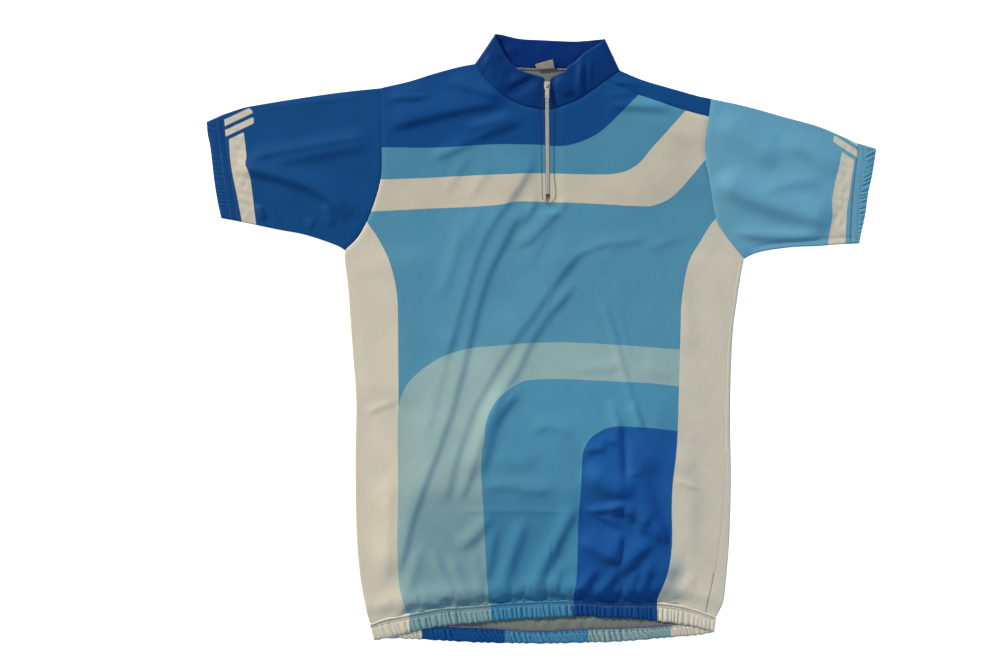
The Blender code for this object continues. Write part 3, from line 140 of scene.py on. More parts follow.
# Folds of the upper layer: name, rise, half widths on the steep and on the soft side, and the line
# that the shaded flank follows, the one that faces the lower right. A negative rise is a trough.
FOLDS = (
    ("long fold", 2.4, 6, 40, ((-4, 220), (-23, 188), (-40, 162), (-55, 142), (-73, 108), (-89, 59),
                               (-103, 10), (-114, -28))),
    ("long fold's foot", 1.2, 6, 20, ((-102, 14), (-114, -28), (-124, -69), (-132, -99), (-141, -132))),
    ("long fold's second", 2.7, 6, 24, ((-17, 166), (-41, 121), (-61, 81), (-76, 35), (-94, -38),
                                        (-111, -99), (-133, -160), (-155, -221), (-172, -295))),
    ("belly fold", 2.8, 7, 30, ((58, 112), (32, 84), (-2, 37), (-38, -13), (-68, -64), (-85, -99),
                                (-105, -160), (-116, -209))),
    ("belly fold's tip", 0.9, 4, 8, ((97, 117), (70, 110), (40, 97))),
    ("belly fold's second", 2.2, 6, 16, ((46, 70), (28, 46), (12, 29), (-1, 10), (-13, -9), (-26, -38),
                                         (-43, -65), (-63, -106), (-82, -160), (-98, -208))),
    ("zip foot one", 1.8, 5, 12, ((40, 172), (14, 145), (-2, 128), (-16, 115), (-38, 110))),
    ("zip foot two", 1.5, 5, 8, ((8, 172), (-13, 150), (-29, 131))),
    ("zip foot three", 0.9, 6, 12, ((20, 142), (-2, 106), (-16, 74))),
    ("chest streak one", 1.2, 7, 9, ((-89, 151), (-102, 97), (-120, 41))),
    ("chest streak two", 0.8, 6, 9, ((-66, 162), (-79, 138), (-91, 102))),
    ("band streak one", 1.8, 6, 9, ((-74, 240), (-105, 227), (-135, 214))),
    ("band streak two", 0.7, 6, 8, ((-80, 230), (-99, 199), (-115, 169))),
    ("band streak three", 0.7, 6, 8, ((-56, 212), (-77, 181), (-87, 163))),
    ("left crease", 1.3, 4, 6, ((72, 57), (88, 18), (104, -43), (125, -110), (133, -138))),
    ("left crease two", 0.6, 4, 5, ((94, 45), (108, -10), (116, -34))),
    ("left streak one", 0.9, 5, 8, ((133, 120), (94, 113), (77, 108))),
    ("left streak two", 0.6, 5, 8, ((182, 126), (139, 108), (121, 105))),
    ("aqua across", 0.8, 6, 9, ((30, -42), (72, -40), (109, -34))),
    ("aqua left", 0.8, 5, 7, ((121, -34), (145, -47), (160, -51))),
    ("sky corner", 3.8, 8, 20, ((-18, -60), (-50, -96), (-64, -140), (-72, -176))),
    ("sky middle", 1.4, 6, 11, ((-16, -119), (11, -110), (41, -124))),
    ("sky crease one", 2.0, 5, 6, ((82, -69), (94, -93), (100, -124))),
    ("sky crease two", 1.6, 5, 6, ((111, -75), (127, -114))),
    ("sky swell", 1.2, 10, 16, ((-69, -148), (-40, -158), (4, -152))),
    ("sky step", 1.8, 7, 12, ((-77, -186), (-42, -183), (-8, -189), (26, -184))),
    ("pocket edge right", 0.6, 3, 4, ((-105, -212), (-38, -212), (42, -213))),
    ("pocket edge left", 1.8, 4, 5, ((48, -214), (78, -209), (116, -202))),
    ("low streak one", 3.8, 8, 11, ((48, -197), (28, -240), (5, -285), (-8, -319))),
    ("low streak two", 3.0, 8, 10, ((-13, -215), (-30, -264), (-46, -319))),
    ("low streak three", 2.2, 7, 9, ((-50, -221), (-65, -307))),
    ("sky edge low", 2.6, 8, 10, ((-52, -212), (-77, -242), (-104, -265))),
    ("low spot", 1.8, 7, 8, ((35, -270), (13, -313))),
    ("aqua gather one", 2.2, 6, 7, ((-130, -250), (-117, -285), (-92, -322))),
    ("aqua gather two", 2.2, 6, 7, ((-109, -256), (-96, -288), (-74, -322))),
    ("aqua gather three", 1.4, 6, 8, ((-79, -252), (-72, -292), (-67, -314))),
    ("aqua gather right", 1.4, 7, 9, ((-141, -252), (-152, -288), (-162, -322))),
    ("royal valley", -3.4, 5, 6, ((93, -102), (98, -128), (100, -185))),
    ("royal crease one", 1.4, 4, 6, ((67, -124), (95, -130))),
    ("royal crease two", 2.2, 5, 7, ((50, -140), (82, -135))),
    ("royal ridge", 7.2, 13, 18, ((44, -158), (62, -178), (76, -187), (92, -194), (112, -202))),
    ("royal strip", 1.6, 3, 6, ((48, -207), (70, -212), (96, -207), (108, -201))),
    ("royal thin crease", 2.0, 3, 8, ((54, -213), (76, -221), (100, -234))),
    ("royal deep one", 3.4, 6, 9, ((80, -219), (98, -212), (116, -216))),
    ("royal deep two", 4.4, 8, 11, ((98, -219), (114, -220), (130, -231))),
    ("royal deep three", 4.8, 9, 12, ((110, -232), (130, -237), (150, -250))),
    ("royal star", 4.4, 7, 13, ((144, -248), (121, -262), (108, -278), (98, -294))),
    ("royal stem", 3.6, 4, 15, ((100, -232), (95, -256), (90, -280))),
    ("royal under", 4.8, 8, 18, ((40, -248), (60, -258), (76, -267), (98, -275))),
    ("royal low", 5.2, 24, 34, ((20, -290), (60, -292), (120, -294), (175, -300))),
    ("royal gather one", 3.0, 6, 7, ((72, -278), (44, -317))),
    ("royal gather two", 3.2, 6, 7, ((99, -280), (68, -320))),
    ("royal gather three", 2.8, 6, 7, ((122, -279), (107, -321))),
    ("royal gather four", 3.0, 6, 7, ((138, -270), (121, -321))),
    ("royal edge", -3.4, 9, 15, ((118, -150), (134, -185), (144, -221), (150, -248), (147, -280))),
    ("royal small crease", 1.0, 4, 5, ((101, -168), (126, -165))),
    ("left panel low", 0.7, 7, 12, ((170, -270), (145, -319))),
    ("left panel crease", 0.8, 3, 4, ((160, -173), (194, -187))),
    ("left panel soft", 0.9, 10, 14, ((182, -124), (189, -197), (187, -270))),
    ("left panel high", 0.8, 10, 14, ((177, 108), (185, 10), (182, -26))),
    ("left panel foot", 0.7, 6, 10, ((194, -288), (167, -317))),
    ("right panel crease", 0.8, 4, 6, ((-172, -77), (-216, -95))),
    ("right panel low", 1.5, 9, 14, ((-177, -160), (-181, -234), (-184, -307))),
    ("yoke fold", 3.6, 7, 22, ((-40, 284), (-80, 279), (-123, 270), (-166, 259), (-190, 251))),
    ("yoke collar streak", 2.6, 6, 14, ((-35, 287), (-69, 296), (-121, 312))),
    ("yoke streak one", 1.8, 4, 6, ((-191, 290), (-129, 293))),
    ("yoke streak two", 1.4, 4, 6, ((-187, 299), (-135, 304))),
    ("yoke low one", 2.4, 5, 7, ((-26, 271), (-62, 259), (-96, 251))),
    ("yoke low two", 2.8, 6, 8, ((-16, 265), (-50, 253), (-89, 238))),
    ("left shoulder one", 1.6, 5, 7, ((121, 298), (74, 291))),
    ("left shoulder two", 3.0, 6, 9, ((76, 280), (127, 279), (162, 274))),
    ("right sleeve one", 1.6, 5, 9, ((-362, 213), (-329, 222), (-294, 229), (-199, 247))),
    ("right sleeve two", 2.2, 8, 10, ((-333, 209), (-276, 219), (-199, 235))),
    ("right sleeve deep", 4.2, 7, 16, ((-378, 206), (-340, 198), (-304, 188), (-272, 175), (-252, 158),
                                       (-238, 136))),
    ("right sleeve end", 2.0, 4, 6, ((-262, 168), (-254, 150), (-250, 134))),
    ("right sleeve low one", 2.6, 4, 5, ((-343, 166), (-334, 143))),
    ("right sleeve low two", 1.3, 4, 6, ((-274, 147), (-282, 127))),
    ("right sleeve top", 1.2, 4, 6, ((-355, 278), (-299, 286), (-217, 293))),
    ("left sleeve fold", 5.0, 13, 22, ((204, 194), (228, 175), (262, 160), (296, 149), (330, 138),
                                       (356, 128))),
    ("left sleeve under", 2.4, 6, 9, ((228, 128), (267, 121), (316, 119), (352, 124))),
    ("left sleeve end", 2.4, 10, 16, ((285, 238), (330, 216), (362, 190))),
    ("left sleeve middle", 1.4, 8, 12, ((262, 166), (296, 182), (352, 188))),
    ("left sleeve top", 2.4, 13, 20, ((204, 262), (240, 236), (268, 214), (285, 200))),
    ("left shoulder seam", 2.2, 4, 7, ((80, 311), (104, 309), (138, 307))),
    ("belly swell", 2.4, 50, 60, ((-87, -142), (11, -155), (151, -180))),
    ("left chest slope", 2.6, 40, 60, ((108, 140), (160, 200), (192, 268))),
    ("chest swell", 2.0, 40, 50, ((-148, 120), (-135, 14), (-154, -93))),
)
FOLD_LEAN = 0.7      # how far the crest lies from that line, as a share of the steep half width
FOLD_END = 30.0      # way over which a long fold runs out

# Where the cloth stays up as far as the hem, between the hollows that the elastic pulls into it:
# x of the fold, its half width, and how far its upper end leans to the left.
HEM_FANS = ((-205, 5, 0), (-176, 5, 6), (-146, 3, 2), (-124, 4, 14), (-104, 2, 4), (-82, 5, 10),
            (-68, 2, 3), (-34, 3, 3), (-21, 2, -3), (-8, 2, 6), (10, 3, 4), (21, 2, -4), (36, 3, -8),
            (54, 4, 8), (64, 2, 4), (98, 3, -2), (110, 2, 4), (119, 3, 8), (141, 4, -8), (158, 5, 8),
            (183, 3, -6), (196, 4, 4))
HEM_LOW, FAN_RISE = 2.0, 1.8     # height at the seam in the hollows, and how much more at a fan
HEM_FLAT = 2.9       # height at the seam near both ends of the hem
HEM_PUFF, FALL = 3.2, 10.0       # swell of the cloth above the hem, and its way down to the seam
PUFF_AT, PUFF_HALF = 15.0, 13.0  # how far above the hem that swell is highest, and its half width
FAN_FOOT, FAN_TAPER = 1.7, 1.2   # factor on a fan's width at its foot, and how much less at its head
FAN_HIGH = 22.0      # how far above the seam a fan's head is
LEAN_FROM, LEAN_OVER = 4.0, 20.0   # a fan leans from the first height on, by its lean over the second
HEM_ZONE, FAR_UP = -200.0, 500.0   # the hem's forms lie below this y; above it all is this far up
HEM_ENDS = (0.16, 0.27)   # shares of the hem at its two ends over which the hollows grow
BELLY, BELLY_TOP = 5.5, -150.0   # broad swell of the lower front, and the y where it is highest
BELLY_SOFT, BELLY_REACH = 70.0, 190.0   # its distance in from the edges, and its reach up and down


def lengths(line):
    """Length of the way along a line, from its start to each of its points."""
    return np.concatenate(([0], np.cumsum(np.linalg.norm(np.diff(line, axis=0), axis=1))))


def unit(ways):
    """Directions, each divided by its own length."""
    return ways / np.linalg.norm(ways, axis=1, keepdims=True)


def fair(points, count=None, step=8.0):
    """Points, evenly spaced in plan, on the smooth curve through the given ones: between two the
    curve is the cubic whose end slopes are half the step from neighbour to neighbour."""
    p = np.asarray(points, float)
    q = np.vstack((2 * p[0] - p[1], p, 2 * p[-1] - p[-2]))[:, None]
    t = np.linspace(0, 1, 12, endpoint=False)[None, :, None]
    a, b, c, d = q[:-3], q[1:-2], q[2:-1], q[3:]
    spans = 0.5 * (2 * b + (c - a) * t + (2 * a - 5 * b + 4 * c - d) * t ** 2
                   + (3 * b - a - 3 * c + d) * t ** 3)
    dense = np.vstack((spans.reshape(-1, p.shape[1]), p[-1:]))
    run = lengths(dense[:, :2])
    at = np.linspace(0, run[-1], count or max(3, int(round(run[-1] / step)) + 1))
    return np.stack([np.interp(at, run, dense[:, k]) for k in range(dense.shape[1])], axis=1)


def moved(line, distance):
    """The line moved sideways by a distance, to the left of its own direction where positive."""
    way = unit(np.gradient(line, axis=0))
    return line + distance * np.stack((-way[:, 1], way[:, 0]), axis=1)


def beside(xy, line):
    """For every point, its distance from a line, positive on the left of the line's direction,
    and the share of the line's length, 0 to 1, at which the nearest place is."""
    a, ab = line[:-1], np.diff(line, axis=0)
    length = np.linalg.norm(ab, axis=1)
    start = np.concatenate(([0], np.cumsum(length)[:-1]))
    ap = xy[:, None] - a
    t = np.clip((ap * ab).sum(-1) / length ** 2, 0, 1)
    away = np.linalg.norm(ap - t[..., None] * ab, axis=-1)
    nearest, rows = away.argmin(1), np.arange(len(xy))
    off = ap[rows, nearest]
    side = np.where(ab[nearest, 0] * off[:, 1] >= ab[nearest, 1] * off[:, 0], 1.0, -1.0)
    along = (start[nearest] + t[rows, nearest] * length[nearest]) / length.sum()
    return side * away[rows, nearest], along


def ramp(value):
    """Smooth step: 3 v squared less 2 v cubed, held at 0 below 0 and at 1 above 1."""
    value = np.clip(value, 0, 1)
    return value * value * (3 - 2 * value)


def folded(xy, table, lean=FOLD_LEAN):
    """Height of the folds at every point. Each is a bell across its line, exp(-(d/h) squared), with
    its own half width h on either side, its crest a share of the steep one to the upper left of the
    line, or its trough as far to the lower right. It rises and runs out over a third of its length,
    at most FOLD_END."""
    total = np.zeros(len(xy))
    for _, rise, steep, soft, line in table:
        line = fair(line, step=9.0)
        reach = 2.6 * max(steep, soft) + steep
        close = np.flatnonzero(((xy > line.min(0) - reach) & (xy < line.max(0) + reach)).all(1))
        if len(close):
            off, along = beside(xy[close], line)
            upper_left = np.sign((line[-1] - line[0]).sum())
            off = upper_left * off - lean * steep * np.sign(rise)
            half = np.where(off * rise > 0, soft, steep)
            length = np.linalg.norm(np.diff(line, axis=0), axis=1).sum()
            way_in = min(0.33, FOLD_END / length)
            ends = ramp(along / way_in) * ramp((1 - along) / way_in)
            total[close] += rise * ends * np.exp(-(off / half) ** 2)
    return total


def rippled(xy, wave, seed):
    """Low uneven swell of the cloth: a sum of seven sines, each with its own direction and a
    wavelength within a third of the given one, divided so that it stays about within 1."""
    draw = np.random.default_rng(seed)
    turn, size, start = draw.uniform(0, np.pi, 7), draw.uniform(0.67, 1.33, 7), draw.uniform(0, 6.3, 7)
    ways = np.stack((np.cos(turn), np.sin(turn))) * 2 * np.pi / (wave * size)
    return np.sin(xy @ ways + start).sum(1) / 3.5


def zip_x(y):
    """Middle of the zip at a given y, on the straight line from its top to its foot."""
    return ZIP_TOP[0] + (ZIP_FOOT[0] - ZIP_TOP[0]) * (y - ZIP_TOP[1]) / (ZIP_FOOT[1] - ZIP_TOP[1])


TURNED = [np.vstack((fair(side)[::-1], fair(under)[1:], fair(cuff)[-2::-1], fair(top)[-2::-1],
                     fair(shoulder)[-2::-1]))
          for side, under, cuff, top, shoulder in (
              (SIDE_R, UNDER_R, CUFF_SEAM_R, TOP_R, SHOULDER_R),
              (SIDE_L, UNDER_L, CUFF_SEAM_L, TOP_L, SHOULDER_L))]
SEWN = [fair(line) for line in (ARM_R, ARM_L, SEAM_L, NECK_FRONT_R, NECK_FRONT_L, ARM_SEAM_L)]
CUFF_SEAMS = [fair(line) for line in (CUFF_SEAM_R, CUFF_SEAM_L)]
HEM_TOP = fair(HEM_FRONT_TOP)


def drawn_in(xy, z):
    """Heights with the cloth swollen above the hem and falling to the seam by a smooth step of the
    distance up, to a low level in the hollows and a higher one at the fans, which widen downwards.
    The way down is uneven along the hem, and both ends of it lie nearly flat."""
    up, along = beside(xy, HEM_TOP)
    up = np.where(xy[:, 1] < HEM_ZONE, np.abs(up), FAR_UP)
    taper = FAN_FOOT - FAN_TAPER * np.clip(up / FAN_HIGH, 0, 1)
    fans = sum(np.exp(-((xy[:, 0] - x + lean * (up - LEAN_FROM) / LEAN_OVER) / (half * taper)) ** 2)
               for x, half, lean in HEM_FANS)
    fans = np.clip(fans, 0, 1)
    deep = ramp(along / HEM_ENDS[0]) * ramp((1 - along) / HEM_ENDS[1])
    fall = FALL * (1 + 0.35 * np.sin(xy[:, 0] / 6.5) + 0.25 * np.sin(xy[:, 0] / 3.7 + 1))
    z = z + HEM_PUFF * (0.3 + 0.7 * deep) * (1 - 0.3 * fans) * np.exp(-((up - PUFF_AT) / PUFF_HALF) ** 2)
    low = HEM_LOW + FAN_RISE * fans
    drawn = low + (z - low) * ramp(up / fall)
    flat = HEM_FLAT + (z - HEM_FLAT) * ramp(up / (2 * FALL))
    return deep * drawn + (1 - deep) * flat


def upper_level(xy):
    """Height of the middle of the upper layer: a low pillow between the turned edges, with the
    folds on it and a dip at each seam, kept above LOWEST and even beside the zip."""
    xy = np.asarray(xy, float)
    edge = np.min([np.abs(beside(xy, line)[0]) for line in TURNED], axis=0)
    seam = np.min([np.abs(beside(xy, line)[0]) for line in SEWN], axis=0)
    free = 1 - np.exp(-(edge / EDGE_SOFT) ** 2)
    z = LEVEL + PUFF * (1 - np.exp(-edge / PUFF_SOFT)) - LOWEST
    reach = ramp(1 - np.abs(xy[:, 1] - BELLY_TOP) / BELLY_REACH)
    z += BELLY * (1 - np.exp(-(edge / BELLY_SOFT) ** 2)) * reach
    z += free * (folded(xy, FOLDS) + 0.18 * rippled(xy, wave=60, seed=3)
                 + 0.05 * rippled(xy, wave=23, seed=5))
    cuff = np.min([np.abs(beside(xy, line)[0]) for line in CUFF_SEAMS], axis=0)
    z += PUCKER * free * np.exp(-(cuff / PUCKER_SOFT) ** 2) * rippled(xy, wave=13, seed=8)
    z = drawn_in(xy, LOWEST + 0.5 * (z + np.sqrt(z * z + LOW_ROUND)))
    off_zip = np.maximum(np.abs(xy[:, 0] - zip_x(xy[:, 1])) - ZIP_EVEN, SLIT_FOOT - 4 - xy[:, 1])
    share = ramp(off_zip / ZIP_BLEND)
    return share * z + (1 - share) * ZIP_LEVEL - TUCK_DEEP * np.exp(-(seam / TUCK_HALF) ** 2)


def coons(near, far, one, two):
    """Plan points filled in between four edges: the mean surface of the two ruled surfaces
    across and along, less the one through the four corners."""
    u = np.linspace(0, 1, len(one))[:, None, None]
    v = np.linspace(0, 1, len(near))[None, :, None]
    return ((1 - u) * near[None] + u * far[None] + (1 - v) * one[:, None] + v * two[:, None]
            - (1 - u) * ((1 - v) * near[0] + v * near[-1]) - u * ((1 - v) * far[0] + v * far[-1]))


def numbered(grid, first=0):
    """Numbers of a grid's points, row after row, from a first number on."""
    return first + np.arange(grid.shape[0] * grid.shape[1]).reshape(grid.shape[:2])


def quads(number):
    """Corners of every face of a grid of point numbers, anticlockwise from the first row up."""
    return np.stack((number[:-1, :-1], number[:-1, 1:], number[1:, 1:], number[1:, :-1]),
                    axis=-1).reshape(-1, 4)


def sewn_piece(name, points, faces, thick, materials, values=()):
    """Object from points and corner numbers, without the points that no face uses. The cloth's
    thickness lies half to each side, with the second material on its wrong side."""
    used, faces = np.unique(faces, return_inverse=True)
    mesh = bpy.data.meshes.new(name)
    mesh.from_pydata(((points[used] + SETTLED) * MM).tolist(), [], faces.reshape(-1, 4).tolist())
    mesh.shade_smooth()
    for key, value in dict(values).items():
        layer = mesh.attributes.new(key, "FLOAT", "POINT")
        layer.data.foreach_set("value", value[used].astype(np.float32))
    for material in materials:
        mesh.materials.append(material)
    made = bpy.data.objects.new(name, mesh)
    bpy.context.scene.collection.objects.link(made)
    if thick:
        wall = made.modifiers.new("thickness", "SOLIDIFY")
        wall.thickness, wall.offset, wall.use_even_offset = thick * MM, 0.0, False
        wall.material_offset = len(materials) - 1
        shading = made.modifiers.new("even_shading", "WEIGHTED_NORMAL")
        shading.weight, shading.thresh = 100, SAME_AREA
    return made


def node(tree, kind, inputs=(), **settings):
    """Adds a shader node; an input is either a value or the socket that feeds it."""
    made = tree.nodes.new("ShaderNode" + kind)
    for key, value in settings.items():
        setattr(made, key, value)
    for key, value in dict(inputs).items():
        if isinstance(value, bpy.types.NodeSocket):
            tree.links.new(value, made.inputs[key])
        else:
            made.inputs[key].default_value = value
    return made


def linear(red, green, blue):
    """Colour for a shader from red, green and blue out of 255 as dyed."""
    part = np.array((red, green, blue)) / 255
    return (*np.where(part <= 0.04045, part / 12.92, ((part + 0.055) / 1.055) ** 2.4), 1.0)


def new_material(name):
    """Material, its nodes, its shader, and the socket that gives the place on a piece."""
    made = bpy.data.materials.new(name)
    made.use_nodes = True
    tree = made.node_tree
    return made, tree, tree.nodes["Principled BSDF"], node(tree, "TexCoord").outputs["Object"]


def knit(name, ground, blocks=(), painted_shade=None, rough=0.55, sheen=0.02, wale=0.9, relief=0.10,
         grain=0.08):
    """Warp knit: fine ribs of loops, a slightly uneven dye and a soft sheen. Each block colours the cloth
    where its own value is over zero, with an edge a quarter of a millimetre soft, and the painted shade's
    value darkens the colours by a factor for each of red, green and blue: painted shade."""
    made, tree, shader, spot = new_material(name)
    colour = node(tree, "RGB").outputs[0]
    colour.default_value = linear(*ground)
    for key, dye in blocks:
        value = node(tree, "Attribute", attribute_name=key).outputs["Fac"]
        edge = node(tree, "MapRange", {0: value, 1: -0.25, 2: 0.25})
        colour = node(tree, "Mix", {0: edge.outputs[0], 6: colour, 7: linear(*dye)},
                      data_type="RGBA").outputs[2]
    # Painted shade: the colour is darkened by a factor for each of red, green and blue where the painted
    # shade's value is up.
    if painted_shade:
        value = node(tree, "Attribute", attribute_name=painted_shade[0]).outputs["Fac"]
        shade_factor = node(tree, "Mix", {0: value, 6: (1.0, 1.0, 1.0, 1.0), 7: painted_shade[1]},
                    data_type="RGBA").outputs[2]
        colour = node(tree, "VectorMath", {0: colour, 1: shade_factor}, operation="MULTIPLY").outputs[0]
    cloudy = node(tree, "TexNoise", {"Vector": spot, "Scale": 26.0, "Detail": 2.0}).outputs["Fac"]
    speck = node(tree, "TexNoise", {"Vector": spot, "Scale": 640.0, "Detail": 2.0}).outputs["Fac"]
    both = node(tree, "Math", {0: cloudy, 1: speck}, operation="ADD").outputs[0]
    shade = node(tree, "MapRange", {0: both, 1: 0.5, 2: 1.5, 3: 1 - grain, 4: 1 + grain}).outputs[0]
    colour = node(tree, "VectorMath", {0: colour, "Scale": shade}, operation="SCALE").outputs[0]
    tree.links.new(colour, shader.inputs["Base Color"])
    xyz = node(tree, "SeparateXYZ", {0: spot})
    rib = node(tree, "Math", {0: xyz.outputs[0], 1: 2 * np.pi / (wale * MM)}, operation="MULTIPLY")
    loop = node(tree, "Math", {0: xyz.outputs[1], 1: 2 * np.pi / (0.8 * wale * MM)}, operation="MULTIPLY")
    rib = node(tree, "Math", {0: rib.outputs[0]}, operation="SINE")
    loop = node(tree, "Math", {0: loop.outputs[0], 1: rib.outputs[0]}, operation="ADD")
    loop = node(tree, "Math", {0: loop.outputs[0]}, operation="SINE")
    high = node(tree, "Math", {0: loop.outputs[0], 1: 0.5, 2: rib.outputs[0]}, operation="MULTIPLY_ADD")
    high = node(tree, "Math", {0: speck, 1: 2.0, 2: high.outputs[0]}, operation="MULTIPLY_ADD")
    bump = node(tree, "Bump", {"Strength": relief, "Distance": 0.0004, "Height": high.outputs[0]})
    tree.links.new(bump.outputs[0], shader.inputs["Normal"])
    shader.inputs["Roughness"].default_value = rough
    shader.inputs["Specular IOR Level"].default_value = 0.06
    shader.inputs["Sheen Weight"].default_value = sheen
    shader.inputs["Sheen Roughness"].default_value = 0.45
    return made


BODY, CREAM, BAND, YOKE = (76, 134, 161), (192, 187, 171), (70, 129, 156), (12, 67, 124)
AQUA, SKY, ROYAL, WRONG_SIDE = (133, 162, 164), (71, 133, 162), (25, 82, 145), (112, 119, 111)
CHEST_CREAM = (186, 180, 163)
BLOCKS = (("cream_band", CHEST_CREAM), ("blue_band", BAND), ("yoke", YOKE), ("aqua_block", AQUA),
          ("sky_block", SKY), ("royal_block", ROYAL), ("side_r", CREAM), ("side_l", CREAM))
LOW_FRONT_SHADE_FACTORS = (0.66, 0.78, 0.87, 1.0)   # painted shade: what is left of each colour over the lower front
printed_knit = knit("printed_knit", BODY, BLOCKS, painted_shade=("layers", LOW_FRONT_SHADE_FACTORS))
wrong_side = knit("wrong_side_of_knit", WRONG_SIDE, rough=0.75)


SHADE_TOP, SHADE_HALF, SHADE_SOFT = -170.0, 185.0, 50.0   # where the painted shade over the lower front lies


def printed(upper, lower):
    """Distance in from the edge of each colour block, for points of the upper and lower print, and the share
    of painted shade over the lower front.
    """
    lines = (("cream_band", CREAM_LINE, upper), ("blue_band", BAND_LINE, upper),
             ("yoke", YOKE_LINE, upper), ("aqua_block", AQUA_LINE, lower),
             ("sky_block", SKY_LINE, lower), ("royal_block", ROYAL_LINE, lower),
             ("side_r", PANEL_R, lower), ("side_l", PANEL_L, lower))
    found = {key: beside(xy, fair(line, step=5.0))[0] for key, line, xy in lines}
    # Painted shade over the lower front: full low down and near the middle, fading over a soft width at its
    # edges.
    found["layers"] = (ramp((SHADE_TOP - lower[:, 1]) / SHADE_SOFT)
                       * ramp((SHADE_HALF - np.abs(lower[:, 0])) / SHADE_SOFT))
    return found


def roll_line(edge, seam, low, high):
    """Where a turned edge starts to roll, so that the roll's outside touches the outline, and
    the way it rolls: straight out from the seam."""
    way = unit(edge - seam)
    return edge - way * (np.abs(high - low) / 2 + CLOTH / 2)[:, None], way


def turn_over(line, way, start, end, steps=5):
    """Rows of points on the half turn of an edge, each at its own angle: out by the radius times
    the angle's sine, and from the start height to the end height by its cosine."""
    turn = np.linspace(0, np.pi, steps + 1)[1:, None]
    radius = (end - start) / 2
    plan = line[None] + way[None] * (np.abs(radius) * np.sin(turn))[..., None]
    return np.dstack((plan, start + radius * (1 - np.cos(turn))))


def at_heights(line, heights):
    """Points of a line that runs up or down the jersey, at the given values of y."""
    order = np.argsort(line[:, 1])
    return np.column_stack((np.interp(heights, line[order, 1], line[order, 0]), heights))


ROWS_LOW, ROWS_HIGH, HALF_LOW, HALF_HIGH = 190, 74, 52, 34
side_r = fair(SIDE_R, step=3.0)
under_r = moved(side_r, UNDERLAP)
rolled_r, _ = roll_line(side_r, under_r, np.full(len(side_r), LOW), np.full(len(side_r), LEVEL))
hem_line = moved(fair(HEM_FRONT_TOP, step=2.0), SEAM_GAP)
hem_line = hem_line[(hem_line[:, 0] > rolled_r[-1, 0]) & (hem_line[:, 0] < SIDE_SEAM_L[-1][0])]
zip_low = np.array((zip_x(hem_line[:, 1].max()),
                    np.interp(MIDDLE_X, hem_line[:, 0], hem_line[:, 1])))


def half_front(outer_low, outer_high, seam, neck, hem, sign):
    """Plan of half the front: rows at even heights, from the hem to the armpit and on to the
    shoulder seam, and columns from the side to the middle, with one at the neck's corner."""
    arm_y, hem_y = outer_high[:, 1].min(), hem[0, 1]
    heights = np.concatenate((np.linspace(hem_y, arm_y, ROWS_LOW + 1)[:-1],
                              np.linspace(arm_y, outer_high[:, 1].max(), ROWS_HIGH + 1)))
    outer = at_heights(np.vstack((outer_low[outer_low[:, 1] < arm_y - 0.5], outer_high)), heights)
    share = (heights - heights[0]) / (heights[-1] - heights[0])
    middle_y = zip_low[1] + share * (neck[-1][1] - zip_low[1])
    open_by = SLIT_HALF * ramp((middle_y - SLIT_FOOT) / SLIT_OPENS)
    middle = np.column_stack((zip_x(middle_y) + sign * open_by, middle_y))
    top = np.vstack((fair(seam, HALF_LOW + 1)[:-1], fair(neck, HALF_HIGH + 1)))
    along, given = np.linspace(0, 1, len(top)), np.linspace(0, 1, len(hem))
    foot = np.column_stack([np.interp(along, given, hem[:, k]) for k in (0, 1)])
    foot[-1], outer[0], outer[-1], middle[-1] = middle[0], foot[0], top[0], top[-1]
    return coons(foot, top, outer, middle)


arm_r_line, arm_l_line = fair(ARM_R, step=2.0), fair(ARM_L, step=2.0)
right_half = half_front(rolled_r, arm_r_line[arm_r_line[:, 1] < SEAM_R[-1][1]], SEAM_R[::-1],
                        NECK_FRONT_R, hem_line[hem_line[:, 0] < zip_low[0]], -1)
left_half = half_front(fair(SIDE_SEAM_L, step=3.0), arm_l_line[arm_l_line[:, 1] < SEAM_L[-1][1]],
                       SEAM_L[::-1], NECK_FRONT_L, hem_line[hem_line[:, 0] > zip_low[0]][::-1], 1)
plan = np.concatenate((right_half, left_half[:, ::-1]), axis=1)
rows, columns = plan.shape[:2]
level = upper_level(plan.reshape(-1, 2)).reshape(rows, columns)
points = np.dstack((plan, level))
number = numbered(plan)
half = right_half.shape[1]
closed = plan[:, half - 1, 1] < SLIT_FOOT + 0.1
number[closed, half] = number[closed, half - 1]
lip_rows = np.flatnonzero(plan[:, 0, 1] <= LIP_TOP)
lip_line = plan[lip_rows, 0]
lip_way = np.tile((-1.0, 0.0), (len(lip_rows), 1))
lip = turn_over(lip_line, lip_way, level[lip_rows, 0], np.full(len(lip_rows), LOW))
tail = np.column_stack((lip_line - lip_way * UNDERLAP * 0.8, np.full(len(lip_rows), LOW)))[None]
lip = np.concatenate((lip, tail))
lip_number = numbered(lip, rows * columns)
lip_grid = np.vstack((number[lip_rows, 0][None], lip_number))[::-1].T
faces = np.vstack((quads(number[:, :half]), quads(number[:, half:]), quads(lip_grid)))
points = np.vstack((points.reshape(-1, 3), lip.reshape(-1, 3)))
front = sewn_piece("front_panel", points, faces, CLOTH, (printed_knit, wrong_side),
                   printed(points[:, :2], points[:, :2]))
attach(front, "jersey")
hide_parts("front")

